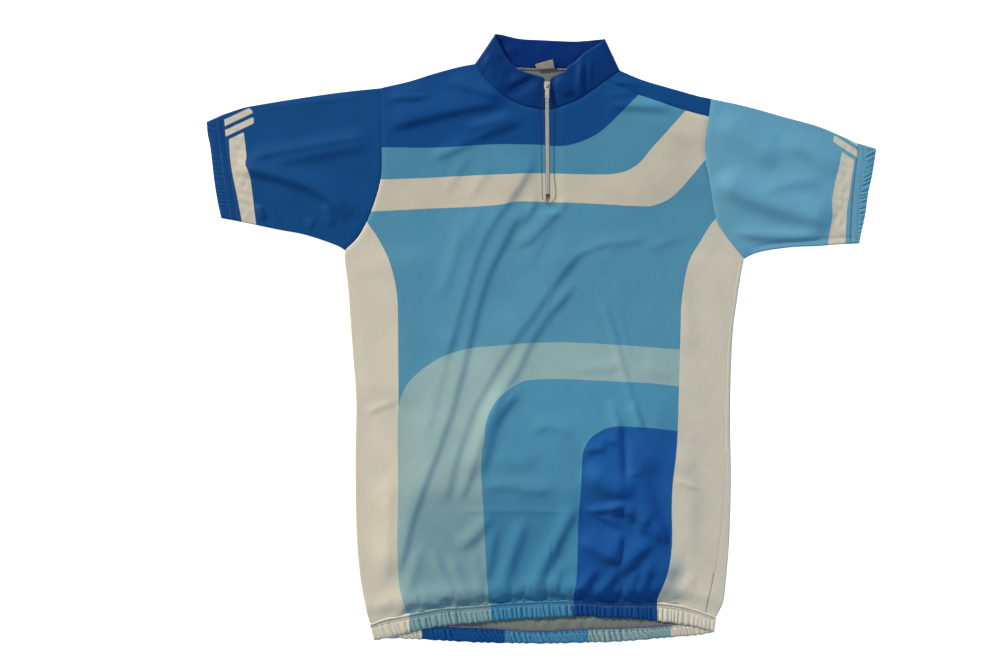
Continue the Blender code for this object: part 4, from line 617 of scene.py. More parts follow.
# ---- Back panel ----------------------------------------------------------------------------
# The same knit, lying on the floor with its wrong side up. It is turned up over both shoulders,
# where it shows as a 24 mm strip, and along the left side, where the side seam is in front.
NECK_BACK = ((-80.8, 335.1), (-50.0, 332.2), (-20.0, 330.4), (4.9, 329.6), (35.4, 329.8),
             (66.0, 328.4), (96.2, 327.0))
HEM_BACK_TOP = ((-203.0, -350.6), (-146.4, -350.6), (-98.8, -352.3), (-58.3, -353.9),
                (-7.8, -357.0), (32.7, -355.4), (59.8, -353.9), (94.3, -353.2), (122.2, -352.0),
                (152.6, -350.0), (211.0, -343.0))
BACK_ROWS, ARM_ROWS, SHOULDER_STEPS, NECK_STEPS, STRIP_STEPS, SIDE_STEPS = 110, 40, 44, 28, 8, 3
WAVE_HIGH, WAVE_REACH = 1.3, 16.0   # waves that the elastic makes above the hem, and how far up
WAVE_CALM = 0.1      # share of the hem at each end over which they grow
BACK_MIRROR = -3.6   # the lower blocks are printed in mirror on the back, about half of this;
                     # the bands run straight across, as on the right half of the front

shoulder_rolls = []
for outline, seam in ((SHOULDER_R, SEAM_R), (SHOULDER_L, SEAM_L)):
    edge, seam = fair(outline, SHOULDER_STEPS + 1), fair(seam, SHOULDER_STEPS + 1)
    shoulder_rolls.append((*roll_line(edge, seam, np.full(len(edge), LOW), np.full(len(edge), LEVEL)),
                           seam))
side_l, seam_l = fair(SIDE_L, BACK_ROWS + 1), fair(SIDE_SEAM_L, BACK_ROWS + 1)
rolled_l, way_l = roll_line(side_l, seam_l, np.full(len(side_l), LOW), np.full(len(side_l), LEVEL))
inner_r = moved(side_r, UNDERLAP + 1.0)
neck = fair(NECK_BACK, NECK_STEPS + 1)
top = np.vstack((shoulder_rolls[0][0][::-1], neck[1:-1], shoulder_rolls[1][0]))
one = np.vstack((fair(inner_r[::-1], BACK_ROWS + 1), fair(fair(ARM_R)[::-1], ARM_ROWS + 1)[1:]))
two = np.vstack((rolled_l[::-1], fair(fair(ARM_L)[::-1], ARM_ROWS + 1)[1:]))
foot = fair(HEM_BACK_TOP, len(top))
one[0], two[0], one[-1], two[-1] = foot[0], foot[-1], top[0], top[-1]
plan = coons(foot, top, one, two)
rows, columns = plan.shape[:2]
up, along = beside(plan.reshape(-1, 2), fair(HEM_BACK_TOP))
waves = WAVE_HIGH * np.exp(-(up / WAVE_REACH) ** 2) * np.sin(along * 105 + 3 * np.sin(along * 17)) ** 2
calm = np.clip((0.5 - np.abs(along - 0.5)) / WAVE_CALM, 0, 1)
waves = waves * calm * (plan[..., 1].ravel() < HEM_ZONE) * ramp(up / 4)
points = [np.column_stack((plan.reshape(-1, 2), LOW + waves))]
number = numbered(plan)
faces = [quads(number)[:, ::-1]]
made = rows * columns
for first, (line, way, seam), backwards, steps in (
        (number[-1, :SHOULDER_STEPS + 1][::-1], shoulder_rolls[0], False, STRIP_STEPS),
        (number[-1, -SHOULDER_STEPS - 1:], shoulder_rolls[1], True, STRIP_STEPS),
        (number[:BACK_ROWS + 1, -1][::-1], (rolled_l, way_l, seam_l), True, SIDE_STEPS)):
    high = upper_level(line)
    turn = turn_over(line, way, np.full(len(line), LOW), high)
    share = np.linspace(0, 1, steps + 1)[1:, None, None]
    strip = line[None] + share * (seam - line)[None]
    strip = np.dstack((strip, upper_level(strip.reshape(-1, 2)).reshape(strip.shape[:2])))
    strip[-1, :, 2] -= SEAM_STEP
    grid = np.concatenate((turn, strip))
    lip_faces = quads(np.vstack((first[None], numbered(grid, made))))
    faces.append(lip_faces[:, ::-1] if backwards else lip_faces)
    points.append(grid.reshape(-1, 3))
    made += grid.shape[0] * grid.shape[1]
points, faces = np.vstack(points), np.vstack(faces)
straight = np.column_stack((-np.abs(points[:, 0]), points[:, 1]))
mirrored = np.column_stack((BACK_MIRROR - points[:, 0], points[:, 1]))
back = sewn_piece("back_panel", points, faces, CLOTH, (printed_knit, wrong_side),
                  printed(straight, mirrored))
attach(back, "jersey")
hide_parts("back")

# ---- Sleeves -------------------------------------------------------------------------------
# Set-in short sleeves of plain dyed knit, royal on the right and light blue on the left. Each is
# a tube lying flat, with a cream stripe round it above the cuff and two plain slanted bars.
SLEEVE_ACROSS, SLEEVE_ALONG = 88, 78
STRIPE_R = (((-363.6, 129.9), (-364.8, 142.4), (-369.2, 166.5), (-377.8, 210.0), (-380.6, 243.6),
             (-381.9, 266.6)),
            ((-362.1, 270.7), (-362.1, 250.7), (-358.8, 220.8), (-360.5, 213.1), (-355.0, 199.0),
             (-350.6, 166.5), (-347.3, 138.0), (-346.5, 126.3)))
STRIPE_L = (((384.3, 242.2), (382.5, 220.2), (379.8, 203.5), (377.7, 188.9), (375.6, 172.0),
             (373.0, 156.3), (371.4, 124.7), (370.9, 108.0)),
            ((350.1, 108.0), (350.9, 122.6), (355.0, 151.0), (354.5, 166.8), (358.2, 188.9),
             (363.4, 209.8), (366.6, 228.8), (368.4, 242.2)))
STRIPE_END_R = ((-402.0, 233.0), (-380.6, 243.0), (-362.7, 251.3), (-340.0, 262.0))
STRIPE_END_L = ((340.0, 245.0), (368.0, 226.8), (384.0, 216.4), (405.0, 203.0))
BAR_WIDE, BAR_GAP = 7.5, 4.5
royal_sleeve = knit("royal_knit_sleeve", (14, 69, 122), (("stripe", CREAM),))
blue_sleeve = knit("light_blue_knit_sleeve", (92, 148, 174), (("stripe", CREAM),))


def flattened_tube(plan, level, low, wall, outward):
    """Tube pressed flat. Each row of the plan is the upper run from one turned edge to the other,
    at the given level; half turns join it to a lower run at the low height. The rings close."""
    tips, pulled = [], 0.0
    for tip, inner in ((plan[:, 0], plan[:, 2]), (plan[:, -1], plan[:, -3])):
        way = unit(tip - inner)
        high = level(tip - way * 2)
        tips.append((tip - way * ((high - low) / 2 + wall / 2)[:, None], way, high))
        pulled = max(pulled, ((high - low) / 2 + wall / 2).max())
    spacing = np.linalg.norm(plan[:, 1] - plan[:, 0], axis=1).min()
    skip = int(np.ceil(pulled / spacing)) + 1
    flat = np.concatenate((tips[0][0][:, None], plan[:, skip:-skip], tips[1][0][:, None]), axis=1)
    upper = np.dstack((flat, level(flat.reshape(-1, 2)).reshape(flat.shape[:2])))
    upper[:, 0, 2], upper[:, -1, 2] = tips[0][2], tips[1][2]
    lower = flat[:, -1:0:-3]
    lower = np.dstack((lower, np.full(lower.shape[:2], low)))
    arcs = [np.swapaxes(turn_over(line, way, high, np.full(len(high), low), 6)[:-1], 0, 1)
            for line, way, high in tips]
    last = np.dstack((tips[0][0][:, None], np.full((len(plan), 1), low)))
    rings = np.concatenate((upper, arcs[1], lower, last, arcs[0][:, ::-1]), axis=1)
    number = numbered(rings)
    faces = quads(np.hstack((number, number[:, :1])))
    return rings.reshape(-1, 3), faces if outward else faces[:, ::-1]


def stripe(xy, lines, end):
    """Distance in from the edge of the sleeve's cream print: inside both edges and below the
    slanted end, or in one of the two bars beyond it."""
    off = beside(xy, fair(end, step=5.0))[0]
    between = np.min([-beside(xy, fair(line, step=5.0))[0] for line in lines], axis=0)
    band = np.minimum(between, -off)
    middles = [BAR_GAP + BAR_WIDE / 2 + k * (BAR_WIDE + BAR_GAP) for k in (0, 1)]
    bars = np.max([BAR_WIDE / 2 - np.abs(off - middle) for middle in middles], axis=0)
    return np.maximum(band, np.minimum(bars, between + 12))


for name, node_name, arm, cuff, top, under, lines, end, outward, material, slot, area in (
        ("right_sleeve", "sleeve_right", ARM_R, CUFF_SEAM_R, TOP_R, UNDER_R, STRIPE_R, STRIPE_END_R,
         False, royal_sleeve, "royal_knit", 0.0602),
        ("left_sleeve", "sleeve_left", ARM_L, CUFF_SEAM_L, TOP_L, UNDER_L, STRIPE_L, STRIPE_END_L,
         True, blue_sleeve, "light_blue_knit", 0.0561)):
    plan = coons(fair(arm, SLEEVE_ACROSS + 1), fair(cuff, SLEEVE_ACROSS + 1),
                 fair(top, SLEEVE_ALONG + 1), fair(under, SLEEVE_ALONG + 1))
    away = 1 if outward else -1
    plan[0, :, 0] += away * 2 * SEAM_GAP
    plan[-1, :, 0] -= away * 2 * SEAM_GAP
    points, faces = flattened_tube(plan, upper_level, LOW, CLOTH, outward)
    sleeve = sewn_piece(name, points, faces, CLOTH, (material, wrong_side),
                        {"stripe": stripe(points[:, :2], lines, end)})
    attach(sleeve, "jersey")
    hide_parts(node_name)

# ---- Cuffs ---------------------------------------------------------------------------------
# The sleeve's end turned back over an elastic and sewn down with two rows: a thicker flattened
# ring, smooth between the rows and drawn into slanted gathers beyond them.
CUFF_THICK, CUFF_ROWS, CUFF_STEPS, CUFF_SPACING, CUFF_WIDE, CUFF_HIGH = 1.6, 16, 220, 4.6, 20.0, 3.6
CUFF_STITCHED = (0.04, 0.42)   # rows of stitches, as shares of the way from the seam
casing_rows = []
CUFF_EDGE_R = ((-407.9, 264.6), (-406.3, 248.3), (-403.0, 231.7), (-398.6, 193.6), (-394.7, 169.0),
               (-389.9, 146.8))
CUFF_EDGE_L = ((408.7, 231.9), (403.5, 199.3), (398.9, 178.7), (395.0, 151.0), (390.4, 129.9),
               (387.7, 116.0))


def gathered(along, out, spacing, depth, slant, first, seed):
    """Gathers of a casing: pillows between narrow valleys at uneven places along it. Each is a
    parabola's arch to the power 0.8 from valley to valley, slanted, from its own share of the way out."""
    draw = np.random.default_rng(seed)
    valleys = np.cumsum(spacing * draw.uniform(0.5, 1.5, int(along.max() / spacing) + 12)) - 3 * spacing
    at = along - slant * out * (1 + 0.5 * np.sin(along / 17.0)) + 0.4 * np.sin(along / 3.1 + 5 * out)
    pillow = np.clip(np.searchsorted(valleys, at), 1, len(valleys) - 1)
    wide = valleys[pillow] - valleys[pillow - 1]
    share = np.clip((at - valleys[pillow - 1]) / wide, 0, 1)
    tall = (depth * draw.uniform(0.45, 1.0, len(valleys)))[pillow] * np.minimum(wide / spacing, 1.2)
    start = (first + draw.uniform(-0.05, 0.12, len(valleys)))[pillow]
    return tall * ((4 * share * (1 - share)) ** 0.8 - 0.72) * ramp((out - start) / 0.12)


for name, node_name, seam, outline, sign, material, slot, slant, depth, seed, thread, cut in (
        ("right_cuff", "cuff_right", CUFF_SEAM_R, CUFF_EDGE_R, False, (12, 68, 124), "royal_knit",
         -7.0, 0.7, 11, (110, 116, 150), (0.29, 0.021, 0.0058)),
        ("left_cuff", "cuff_left", CUFF_SEAM_L, CUFF_EDGE_L, True, (84, 140, 167), "light_blue_knit",
         -9.0, 1.4, 12, (156, 150, 176), (0.25, 0.02, 0.0047))):
    near, far = fair(seam, CUFF_STEPS), fair(outline, CUFF_STEPS)
    share = np.linspace(0, 1, CUFF_ROWS + 1)
    plan = near[None] + share[:, None, None] * (far - near)[None]
    reach = lengths(near)[-1]
    seam_level = upper_level(near)

    def cuff_level(xy):
        """The sleeve's own height at the seam, even from there, less a groove at each row of
        stitches, with the gathers beyond the second row and a rounded outer edge."""
        off, along = beside(xy, near)
        out = np.abs(off) / CUFF_WIDE
        meet = np.interp(along, np.linspace(0, 1, len(near)), seam_level) - 0.3
        grooves = sum(np.exp(-((out - row) / 0.05) ** 2) for row in CUFF_STITCHED)
        return (meet + (CUFF_HIGH - meet) * ramp(out / 0.5) - 0.35 * grooves - 0.4 * ramp((out - 0.85) / 0.15)
                + gathered(along * reach, out, CUFF_SPACING, depth, slant, CUFF_STITCHED[1], seed))

    points, faces = flattened_tube(plan, cuff_level, CUFF_THICK / 2, CUFF_THICK, sign)
    cuff = sewn_piece(name, points, faces, CUFF_THICK, (knit(name + "_knit", material),))
    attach(cuff, "jersey")
    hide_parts(node_name)
    for row, across in zip(("one", "two"), CUFF_STITCHED):
        line = (near + across * (far - near))[6:-6]
        height = cuff_level(line) + CUFF_THICK / 2 + 0.1
        casing_rows.append(("%s_stitch_%s" % (name, row), np.column_stack((line, height)), thread, 0.2))

# ---- Hem casings ---------------------------------------------------------------------------
# The bottom edge turned up over a flat elastic and sewn with a twin needle. The elastic draws
# the casing into close uneven gathers. The front casing lies over the back one.
HEM_FRONT_FOOT = ((-203.5, -368.9), (-184.8, -365.0), (-160.9, -359.0), (-135.2, -353.4),
                  (-109.6, -349.7), (-86.6, -347.5), (-60.4, -345.3), (-23.9, -342.2),
                  (15.5, -340.3), (59.8, -338.7), (78.0, -340.7), (113.0, -341.8),
                  (141.0, -344.8), (187.6, -351.7), (211.1, -358.8))
HEM_BACK_FOOT = ((-201.5, -367.4), (-179.7, -366.4), (-146.4, -367.6), (-86.6, -371.0),
                 (-44.2, -372.1), (7.3, -372.7), (59.8, -371.4), (94.3, -370.5), (141.0, -366.6),
                 (192.4, -362.3), (210.6, -358.4))
HEM_STEPS, BEAD = 620, 0.4       # points along a casing, and the ridge along the front one's seam
HEM_STITCHED = (0.17, 0.28)      # rows of stitches, as shares of the way from the seam
EDGE_WAVE, EDGE_WAVE_LONG = 0.45, 1.9   # waves of the lower edge, and their length over 2 pi
CALM_ENDS = 0.22     # share of the hem at each end over which the gathers grow
HEM_ACROSS = (0.0, 0.01, 0.03, 0.05, 0.07, 0.1, 0.14, 0.18, 0.22, 0.25, 0.28, 0.31, 0.35, 0.4, 0.46, 0.53,
              0.6, 0.68, 0.76, 0.83, 0.89, 0.935, 0.965, 0.985, 0.995, 1.0)
# The hems' aqua, sky and royal are coloured darker than the same blocks on the front, by about the factors of
# the lower front's painted shade: painted shade.
front_hem_knit = knit("front_hem_knit", CREAM, (("aqua", (112, 146, 150)), ("sky", (60, 120, 154)),
                                                ("royal", (14, 62, 122)), ("end", CREAM)))
back_hem_knit = knit("back_hem_knit", CREAM, (("royal", (16, 68, 126)), ("sky", (62, 122, 156)),
                                              ("aqua", (120, 148, 150)), ("end", CREAM)))


def casing(top, foot, low, lifted, thick, spacing, height, slant, bead_share, first, seed):
    """Closed band: an upper run across the casing, rounded at both edges, with a groove under each
    row of stitches and gathers from a given share of the way on, and a flat lower run back. The
    gathers are shallow towards both ends, the lower edge is drawn into short waves and lifted off
    what it lies on."""
    upper, lower = fair(top, HEM_STEPS + 1), fair(foot, HEM_STEPS + 1)
    run = lengths(upper)[:, None]
    lower[:, 1] += EDGE_WAVE * np.sin(run[:, 0] / EDGE_WAVE_LONG + 2 * np.sin(run[:, 0] / 7))
    ends = ramp((0.5 - np.abs(run / run.max() - 0.5)) / CALM_ENDS)
    out = np.array(HEM_ACROSS)[None]
    plan = upper[:, None] + out[..., None] * (lower - upper)[:, None]
    crown = thick * np.where(out < 0.5, 0.8 + 0.2 * ramp(out / 0.1),
                             (1 - np.abs(2 * out - 1) ** 6) ** 0.5)
    grooves = sum(np.exp(-((out - row) / 0.035) ** 2) for row in HEM_STITCHED)
    bead = BEAD * np.exp(-((out - 0.08) / 0.06) ** 2)
    relief = gathered(run, out, spacing, height, slant, first, seed) * (0.3 + 0.7 * ends)
    swell = 0.5 * np.sin(run / 23.0 + seed) * np.sin(run / 9.0) * out
    rise = crown + bead * bead_share - 0.55 * grooves + relief * (1 - np.abs(2 * out - 1) ** 8) + swell
    lift = low + lifted * out * np.ones_like(run)
    top_run = np.dstack((plan, lift + np.maximum(rise, 0.2 * crown + 0.15)))
    under = np.dstack((plan, lift))[:, ::-3][:, :-1]
    rings = np.concatenate((top_run, under), axis=1)
    number = numbered(rings)
    return rings.reshape(-1, 3), quads(np.hstack((number, number[:, :1])))[:, ::-1]


for (name, node_name, top, foot, low, lifted, thick, height, spacing, slant, bead_share, first, seed,
     material, edges, cut, rests, rows_sewn) in (
        ("front_hem", "hem_front", HEM_FRONT_TOP, HEM_FRONT_FOOT, 1.3, 0.6, 2.3, 2.4, 6.1, 2.5, 1, 0.27, 21,
         front_hem_knit,
         (("aqua", -160.4), ("sky", -61.0), ("royal", 39.4), ("end", 141.5)),
         (0.43, 0.024, 0.0098), "back_hem",
         (("one", HEM_STITCHED[0], (44, 62, 88), 0.36), ("two", HEM_STITCHED[1], (110, 122, 150), 0.18))),
        ("back_hem", "hem_back", HEM_BACK_TOP, HEM_BACK_FOOT, 0.0, 0.0, 2.3, 2.6, 5.6, 9.0, 0, 0.12, 22,
         back_hem_knit,
         (("royal", -145.2), ("sky", -44.2), ("aqua", 57.3), ("end", 158.6)),
         (0.43, 0.02, 0.0074), "floor",
         (("one", 0.1, (104, 96, 122), 0.22),))):
    points, faces = casing(top, foot, low, lifted, thick, spacing, height, slant, bead_share, first, seed)
    hem = sewn_piece(name, points, faces, 0, (material,),
                     {key: points[:, 0] - x for key, x in edges})
    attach(hem, "jersey")
    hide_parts(node_name)
    for row, across, thread, half in rows_sewn:
        line = (fair(top, 200) * (1 - across) + across * fair(foot, 200))[2:-2]
        height = np.full(len(line), low + lifted * across + thick - 0.35 + 0.25 * (across > 0.2))
        casing_rows.append((name + "_stitch_" + row, np.column_stack((line, height)), thread, half))

# ---- Collar --------------------------------------------------------------------------------
# A stand collar of two layers of royal knit, sewn round the neck and open in front at the zip.
# It lies folded at both shoulders, its front half over the back half, its inside showing between.
COLLAR_THICK, COLLAR_STAND, COLLAR_RISE, COLLAR_ACROSS, COLLAR_STEPS = 1.5, 5.4, 1.6, 18, 76
COLLAR_TOP_R = ((4.6, 313.4), (1.2, 318.6), (-18.7, 324.4), (-29.3, 329.5), (-39.8, 339.6),
                (-49.0, 355.2), (-56.2, 370.6))
COLLAR_TOP_L = ((10.0, 313.4), (13.6, 318.6), (27.7, 325.0), (34.3, 332.6), (42.2, 337.8),
                (52.6, 347.4), (65.6, 355.8), (78.2, 364.5))
COLLAR_TOP_BACK = ((-56.6, 372.0), (-47.7, 370.9), (-37.2, 368.2), (-23.9, 365.6), (-0.1, 364.3),
                   (36.8, 362.7), (52.8, 363.2), (78.6, 365.8))
COLLAR_FOLDS = (
    ("right hollow", -2.6, 6, 8, ((-54, 346), (-44, 334), (-36, 320), (-32, 312))),
    ("right crease", -3.2, 4, 9, ((2, 322), (-14, 316), (-30, 306), (-48, 295))),
    ("left slope", 3.0, 5, 9, ((16, 322), (24, 313), (32, 304), (40, 294))),
    ("left ridge", 3.0, 3, 5, ((50, 346), (49, 334), (48, 318), (48, 304), (50, 290))),
    ("left second ridge", 1.2, 3, 5, ((60, 346), (60, 332), (60, 316), (62, 304))),
    ("right shoulder", 1.2, 5, 9, ((-70, 350), (-64, 340), (-60, 326), (-58, 312))),
)


def zip_level(y):
    """Height of the cloth beside the zip: even on the front, rising smoothly up the collar."""
    return ZIP_LEVEL + COLLAR_RISE * ramp((y - 276.0) / 40.0)


def collar_front(neck, outer, top, sign):
    """Grid of one front half: straight across from the neck seam to the top edge, which rises
    from the zip to the fold at the shoulder, with the collar's own folds between the edges."""
    base = moved(fair((outer,) + tuple(neck), COLLAR_STEPS + 1)[::-1], SEAM_GAP * sign)
    head = fair(top, COLLAR_STEPS + 1)
    for line in (base, head):
        line[0, 0] = zip_x(line[0, 1]) + sign * SLIT_HALF
    along = ramp(np.linspace(0, 1, COLLAR_STEPS + 1))
    low_z = np.maximum(upper_level(base), LEVEL)
    low_z[0] = zip_level(base[0, 1])
    high_z = zip_level(head[0, 1]) + along * (COLLAR_STAND - ZIP_LEVEL - COLLAR_RISE)
    share = np.linspace(0, 1, COLLAR_ACROSS + 1)[None, :, None]
    grid = (np.column_stack((base, low_z))[:, None] * (1 - share)
            + np.column_stack((head, high_z))[:, None] * share)
    xy = grid[..., :2].reshape(-1, 2)
    lift = (0.6 + folded(xy, COLLAR_FOLDS, lean=0)).reshape(grid.shape[:2])
    lift = lift * np.sin(np.pi * share[..., 0]) ** 0.5
    off_zip = np.abs(grid[..., 0] - zip_x(grid[..., 1]))
    off_fold = np.abs(beside(xy, np.array((base[-1], head[-1])))[0]).reshape(grid.shape[:2])
    grid[..., 2] += lift * ramp((off_zip - 6) / 8) * ramp((off_fold - 2) / 10)
    grid[..., 2] = np.maximum(grid[..., 2], LEVEL - 0.3)
    return grid


def collar_fold(edge, sign, low):
    """Half turn at the shoulder, from the front half's last row down to the back half. It rolls
    straight out from the fold at its foot and level along the top edge at its head."""
    line = edge[:, :2]
    fold = line[-1] - line[0]
    share = np.linspace(0, 1, len(line))[:, None]
    out = np.array((fold[1], -fold[0]))
    way = unit((1 - share) * out * sign / np.linalg.norm(fold) + share * (sign, -0.3))
    line = line - way * ((edge[:, 2] - low) / 2 + low)[:, None]
    return turn_over(line, way, edge[:, 2], np.full(len(line), low), 8)


lie = COLLAR_THICK / 2
fronts = [collar_front(NECK_FRONT_R, SHOULDER_R[0], COLLAR_TOP_R, -1),
          collar_front(NECK_FRONT_L, SHOULDER_L[0], COLLAR_TOP_L, 1)]
folds = [collar_fold(fronts[0][-1], -1, lie), collar_fold(fronts[1][-1], 1, lie)]
for grid, fold in zip(fronts, folds):
    grid[-1, :, :2] += fold[0, :, :2] - grid[-1, :, :2]
base, head = moved(fair(NECK_BACK, 46), SEAM_GAP), fair(COLLAR_TOP_BACK, 46)
share = np.linspace(0, 1, COLLAR_ACROSS + 1)[None, :, None]
rear = base[:, None] * (1 - share) + head[:, None] * share
uneven = np.maximum(0.6 * (1 + rippled(rear.reshape(-1, 2), 30, 9).reshape(rear.shape[:2])), 0)
rear = np.dstack((rear, lie + uneven * np.sin(np.pi * share[..., 0])))
grid = np.concatenate((fronts[0], folds[0], rear[2:-2], folds[1][::-1], fronts[1][::-1]))
points, number = grid.reshape(-1, 3), numbered(grid)
royal_collar = knit("royal_knit_collar", (6, 52, 110), rough=0.5)
# The collar's inside is the same knit coloured darker than its outside: painted shade between the folded
# halves.
collar_inside_shaded = knit("royal_knit_collar_inside_shaded", (1, 41, 106), rough=0.6)
collar = sewn_piece("collar_band", points, quads(number), COLLAR_THICK,
                    (royal_collar, collar_inside_shaded))
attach(collar, "jersey")
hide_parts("collar")

# ---- Zip -----------------------------------------------------------------------------------
# A closed coil zip: two woven tapes sewn behind the slit, with a nylon coil on each whose turns
# mesh in the middle. The slider is enamelled, with its pull hanging from the bridge, and a
# copper staple stops it at the foot.
COIL_PITCH, COIL_HALF, COIL_THICK, TAPE_THICK = 1.25, 2.2, 1.5, 0.6
COIL_LEVEL = -(COLLAR_THICK / 2 + 0.3 + TAPE_THICK / 2) + TAPE_THICK / 2 + 0.3 + COIL_THICK / 2


def plain(name, colour, rough=0.4, metallic=0.0, bump=0.05, scale=900.0, coat=0.0):
    """Hard finish: one colour clouded slightly by noise, with a fine uneven surface."""
    made, tree, shader, spot = new_material(name)
    noise = node(tree, "TexNoise", {"Vector": spot, "Scale": scale, "Detail": 3.0}).outputs["Fac"]
    tint = [tuple(c * k for c in linear(*colour)[:3]) + (1.0,) for k in (0.82, 1.12)]
    colour = node(tree, "Mix", {0: noise, 6: tint[0], 7: tint[1]}, data_type="RGBA").outputs[2]
    tree.links.new(colour, shader.inputs["Base Color"])
    relief = node(tree, "Bump", {"Strength": bump, "Distance": 0.0003, "Height": noise})
    tree.links.new(relief.outputs[0], shader.inputs["Normal"])
    shader.inputs["Roughness"].default_value = rough
    shader.inputs["Metallic"].default_value = metallic
    shader.inputs["Coat Weight"].default_value = coat
    return made


def bars(name, middle, way, long, half, high, material):
    """Many small rounded bars as one mesh: at each middle a six-sided rod along its way, of the
    given half width and half height, which narrow towards both ends over five rings."""
    sides = 6
    along = np.array((-1.0, -0.86, 0.0, 0.86, 1.0))
    wide = np.array((0.25, 0.8, 1.0, 0.8, 0.25))
    turn = np.arange(sides) * 2 * np.pi / sides
    across = np.stack((-way[:, 1], way[:, 0], np.zeros(len(way))), axis=1)
    ring = (middle[:, None, None] + way[:, None, None] * (long / 2 * along)[None, :, None, None]
            + across[:, None, None] * (half * wide[:, None] * np.cos(turn))[None, ..., None]
            + np.array((0, 0, 1.0)) * (high * wide[:, None] * np.sin(turn))[None, ..., None])
    number = np.arange(ring.size // 3).reshape(ring.shape[:3])
    number = np.concatenate((number, number[:, :, :1]), axis=2)
    faces = np.stack((number[:, :-1, :-1], number[:, 1:, :-1], number[:, 1:, 1:], number[:, :-1, 1:]),
                     axis=-1).reshape(-1, 4)
    caps = [np.stack([number[:, row, k] for k in order], axis=-1)
            for row, order in ((0, (0, 1, 2, 3)), (0, (0, 3, 4, 5)),
                               (-1, (3, 2, 1, 0)), (-1, (5, 4, 3, 0)))]
    return sewn_piece(name, ring.reshape(-1, 3), np.vstack([faces] + caps), 0, (material,))


coil_nylon = plain("zip_coil_nylon", (194, 190, 177), rough=0.4)
turns = np.arange(ZIP_FOOT[1] + 2.8, ZIP_TOP[1] - 4.0, COIL_PITCH)
middle = np.vstack([np.column_stack((zip_x(turns) + side * 1.05, turns + (side > 0) * COIL_PITCH / 2,
                                     zip_level(turns) + COIL_LEVEL)) for side in (-1, 1)])
way = unit(np.vstack([np.tile((1.0, 0.18 * side, 0.0), (len(turns), 1)) for side in (-1, 1)]))
coil = bars("zip_coils", middle, way, 2.6, COIL_PITCH * 0.46, COIL_THICK / 2, coil_nylon)
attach(coil, "jersey")
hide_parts("zip_coil")
for name, material in (("zip_tape", knit("zip_tape_weave", (178, 172, 158), wale=0.6)),
                       ("zip_slider", plain("zip_enamel", (182, 175, 158), rough=0.3, coat=0.4)),
                       ("zip_pull", plain("zip_pull_enamel", (186, 180, 164), rough=0.3, coat=0.4)),
                       ("zip_stop", plain("zip_stop_copper", (150, 96, 66), rough=0.35, metallic=1.0))):
    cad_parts[name].data.materials.clear()
    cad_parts[name].data.materials.append(material)

# ---- Neck label ----------------------------------------------------------------------------
# A plain folded strip of satin tape, caught in the back neck seam and leaning to one side.
LABEL_FOOT = np.array(((-4.8, 327.8), (16.8, 329.4)))
LABEL_HEAD = np.array(((-7.2, 334.0), (14.3, 340.0)))
LABEL_GRID = (13, 17)
share = np.linspace(0, 1, LABEL_GRID[0])[:, None, None]
across = np.linspace(0, 1, LABEL_GRID[1])[None, :, None]
ends = LABEL_FOOT[None] + share * (LABEL_HEAD - LABEL_FOOT)[None]
plan = ends[:, :1] * (1 - across) + ends[:, 1:] * across
height = (2.6 + 1.9 * share[..., 0] ** 0.8 + 0.5 * np.sin(np.pi * across[..., 0])
          + 0.2 * np.sin(7 * across[..., 0] + 3 * share[..., 0]))
points = np.dstack((plan, height)).reshape(-1, 3)
label = sewn_piece("label_tape", points, quads(np.arange(len(points)).reshape(LABEL_GRID)), 0.6,
                   (knit("label_satin", (158, 150, 132), rough=0.4, wale=0.4),))
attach(label, "jersey")
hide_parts("neck_label")

# ---- Stitching -----------------------------------------------------------------------------
# Rows of lockstitch in polyester thread: beside the zip, round both cuffs and along the hem, and
# the overlock, pale along the back neck and purple along the back casing.
STITCH_LONG, STITCH_PITCH, TACK_LONG, TACK_PITCH = 2.2, 2.9, 1.7, 2.3


def sewn_row(name, line, colour, half=0.28, slant=0.0, long=STITCH_LONG, pitch=STITCH_PITCH):
    """One row of thread bars, evenly spaced along a line in space and lying along it in plan."""
    line = fair(line, step=pitch)
    way = unit(np.gradient(line[:, :2], axis=0))
    turn = np.array(((np.cos(slant), np.sin(slant)), (-np.sin(slant), np.cos(slant))))
    made = bars(name, line, np.column_stack((way @ turn, np.zeros(len(way)))), long, half, half * 0.8,
                plain(name + "_thread", colour, rough=0.6))
    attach(made, "jersey")
    return made


ZIP_THREAD, TACK_THREAD = (8, 26, 50), (84, 70, 50)
ZIP_ROW_R = ((-3.7, 308.5), (-2.6, 292.0), (-1.3, 276.7), (0.2, 240.0), (1.0, 197.6), (1.5, 171.7))
ZIP_ROW_L = ((18.5, 308.5), (17.6, 292.0), (16.7, 276.7), (15.9, 240.0), (16.0, 200.0), (18.2, 180.0),
             (17.6, 171.7))
for name, line, thread, long, pitch in (
        ("zip_stitch_right", ZIP_ROW_R, ZIP_THREAD, STITCH_LONG, STITCH_PITCH),
        ("zip_stitch_left", ZIP_ROW_L, ZIP_THREAD, STITCH_LONG, STITCH_PITCH),
        ("zip_tack_right", (ZIP_ROW_R[-1], (4.0, 168.2), (7.6, 164.8), (9.6, 162.6)), TACK_THREAD,
         TACK_LONG, TACK_PITCH),
        ("zip_tack_left", (ZIP_ROW_L[-1], (15.6, 168.4), (12.4, 164.8), (9.6, 162.6)), TACK_THREAD,
         TACK_LONG, TACK_PITCH)):
    line = fair(line)
    height = np.maximum(upper_level(line), zip_level(line[:, 1])) + CLOTH / 2 + 0.1
    sewn_row(name, np.column_stack((line, height)), thread, half=0.4, long=long, pitch=pitch)
for name, line, thread, half in casing_rows:
    sewn_row(name, line, thread, half=half)
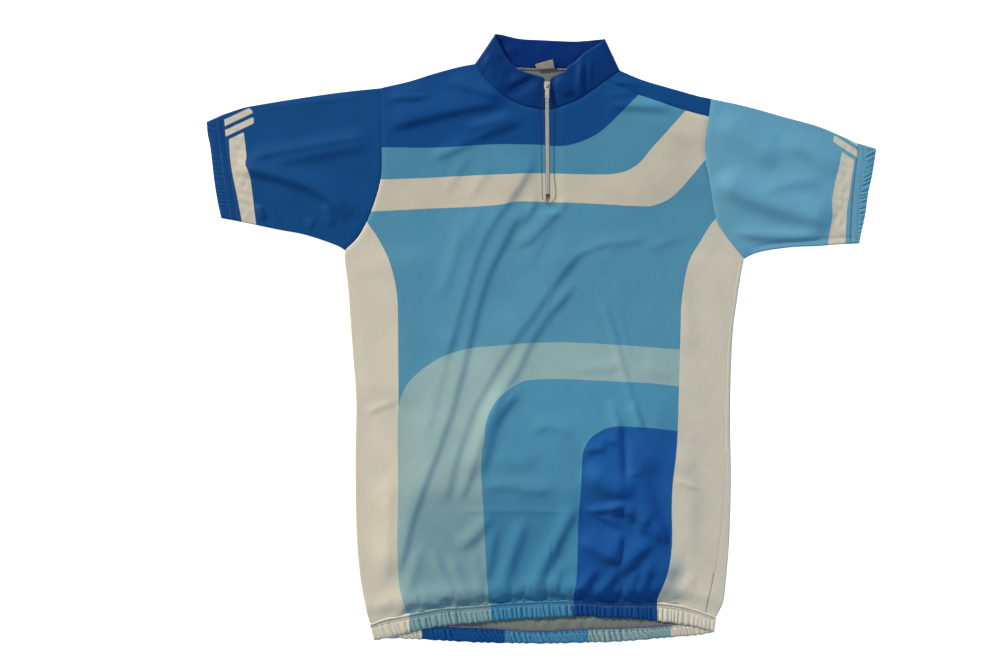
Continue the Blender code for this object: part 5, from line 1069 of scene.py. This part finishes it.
for name, line, level, wide, threads in (
        ("overlock_neck", moved(fair(NECK_BACK), -1.2)[3:-3], 1.6, 2.6,
         ((140, 122, 142), (66, 54, 78), (168, 152, 168))),
        ("overlock_hem", moved(fair(HEM_BACK_TOP), 0.6)[3:-3], 2.5, 3.0,
         ((92, 82, 116), (48, 38, 70), (112, 104, 126)))):
    line = np.column_stack((line, np.full(len(line), level)))
    for letter, slant, thread in zip("abc", (0.9, -0.9, 1.57), threads):
        sewn_row(name + "_" + letter, line, thread, half=0.3, slant=slant, long=wide, pitch=1.5)

# ---- Floor, light and camera ---------------------------------------------------------------
# A plain white table top, a warm lamp low at the upper left, a weak blue one low at the right, and
# an even pale surround.
FLOOR_HALF = 12.0
floor_mesh = bpy.data.meshes.new("floor")
floor_mesh.from_pydata([(x * FLOOR_HALF, y * FLOOR_HALF, -0.0001) for x, y in
                        ((-1, -1), (1, -1), (1, 1), (-1, 1))], [], [(0, 1, 2, 3)])
table_top = plain("white_table", (236, 236, 236), rough=0.9, bump=0.0, scale=3.0)
table_top.node_tree.nodes["Principled BSDF"].inputs["Emission Color"].default_value = (1.0, 1.0, 1.0, 1.0)
table_top.node_tree.nodes["Principled BSDF"].inputs["Emission Strength"].default_value = 0.8
floor_mesh.materials.append(table_top)
floor = bpy.data.objects.new("floor", floor_mesh)
bpy.context.scene.collection.objects.link(floor)

for name, colour, energy, spread, tilt in (
        ("key", (1.0, 0.896, 0.776), 6.15, 0.16, (-70.0, -45.0)),
        ("fill", (0.18, 0.59, 1.0), 1.635, 0.5, (65.0, -10.0))):
    lamp = bpy.data.lights.new(name, "SUN")
    lamp.color, lamp.energy, lamp.angle = colour, energy, spread
    sun = bpy.data.objects.new(name, lamp)
    sun.rotation_euler = (0.0, np.radians(tilt[0]), np.radians(tilt[1]))
    bpy.context.scene.collection.objects.link(sun)
world = bpy.data.worlds.new("surround")
world.use_nodes = True
world.node_tree.nodes["Background"].inputs[0].default_value = (1.0, 0.93, 0.9, 1.0)
world.node_tree.nodes["Background"].inputs[1].default_value = 0.29
bpy.context.scene.world = world
bpy.context.scene.view_settings.view_transform = "Standard"

camera = bpy.data.objects.new("camera", bpy.data.cameras.new("camera"))
camera.data.lens, camera.data.sensor_width = 50.0, 36.0
camera.data.clip_end = 50.0
camera.location = (-0.05041, 0.00524, 1.697)
bpy.context.scene.collection.objects.link(camera)
bpy.context.scene.camera = camera
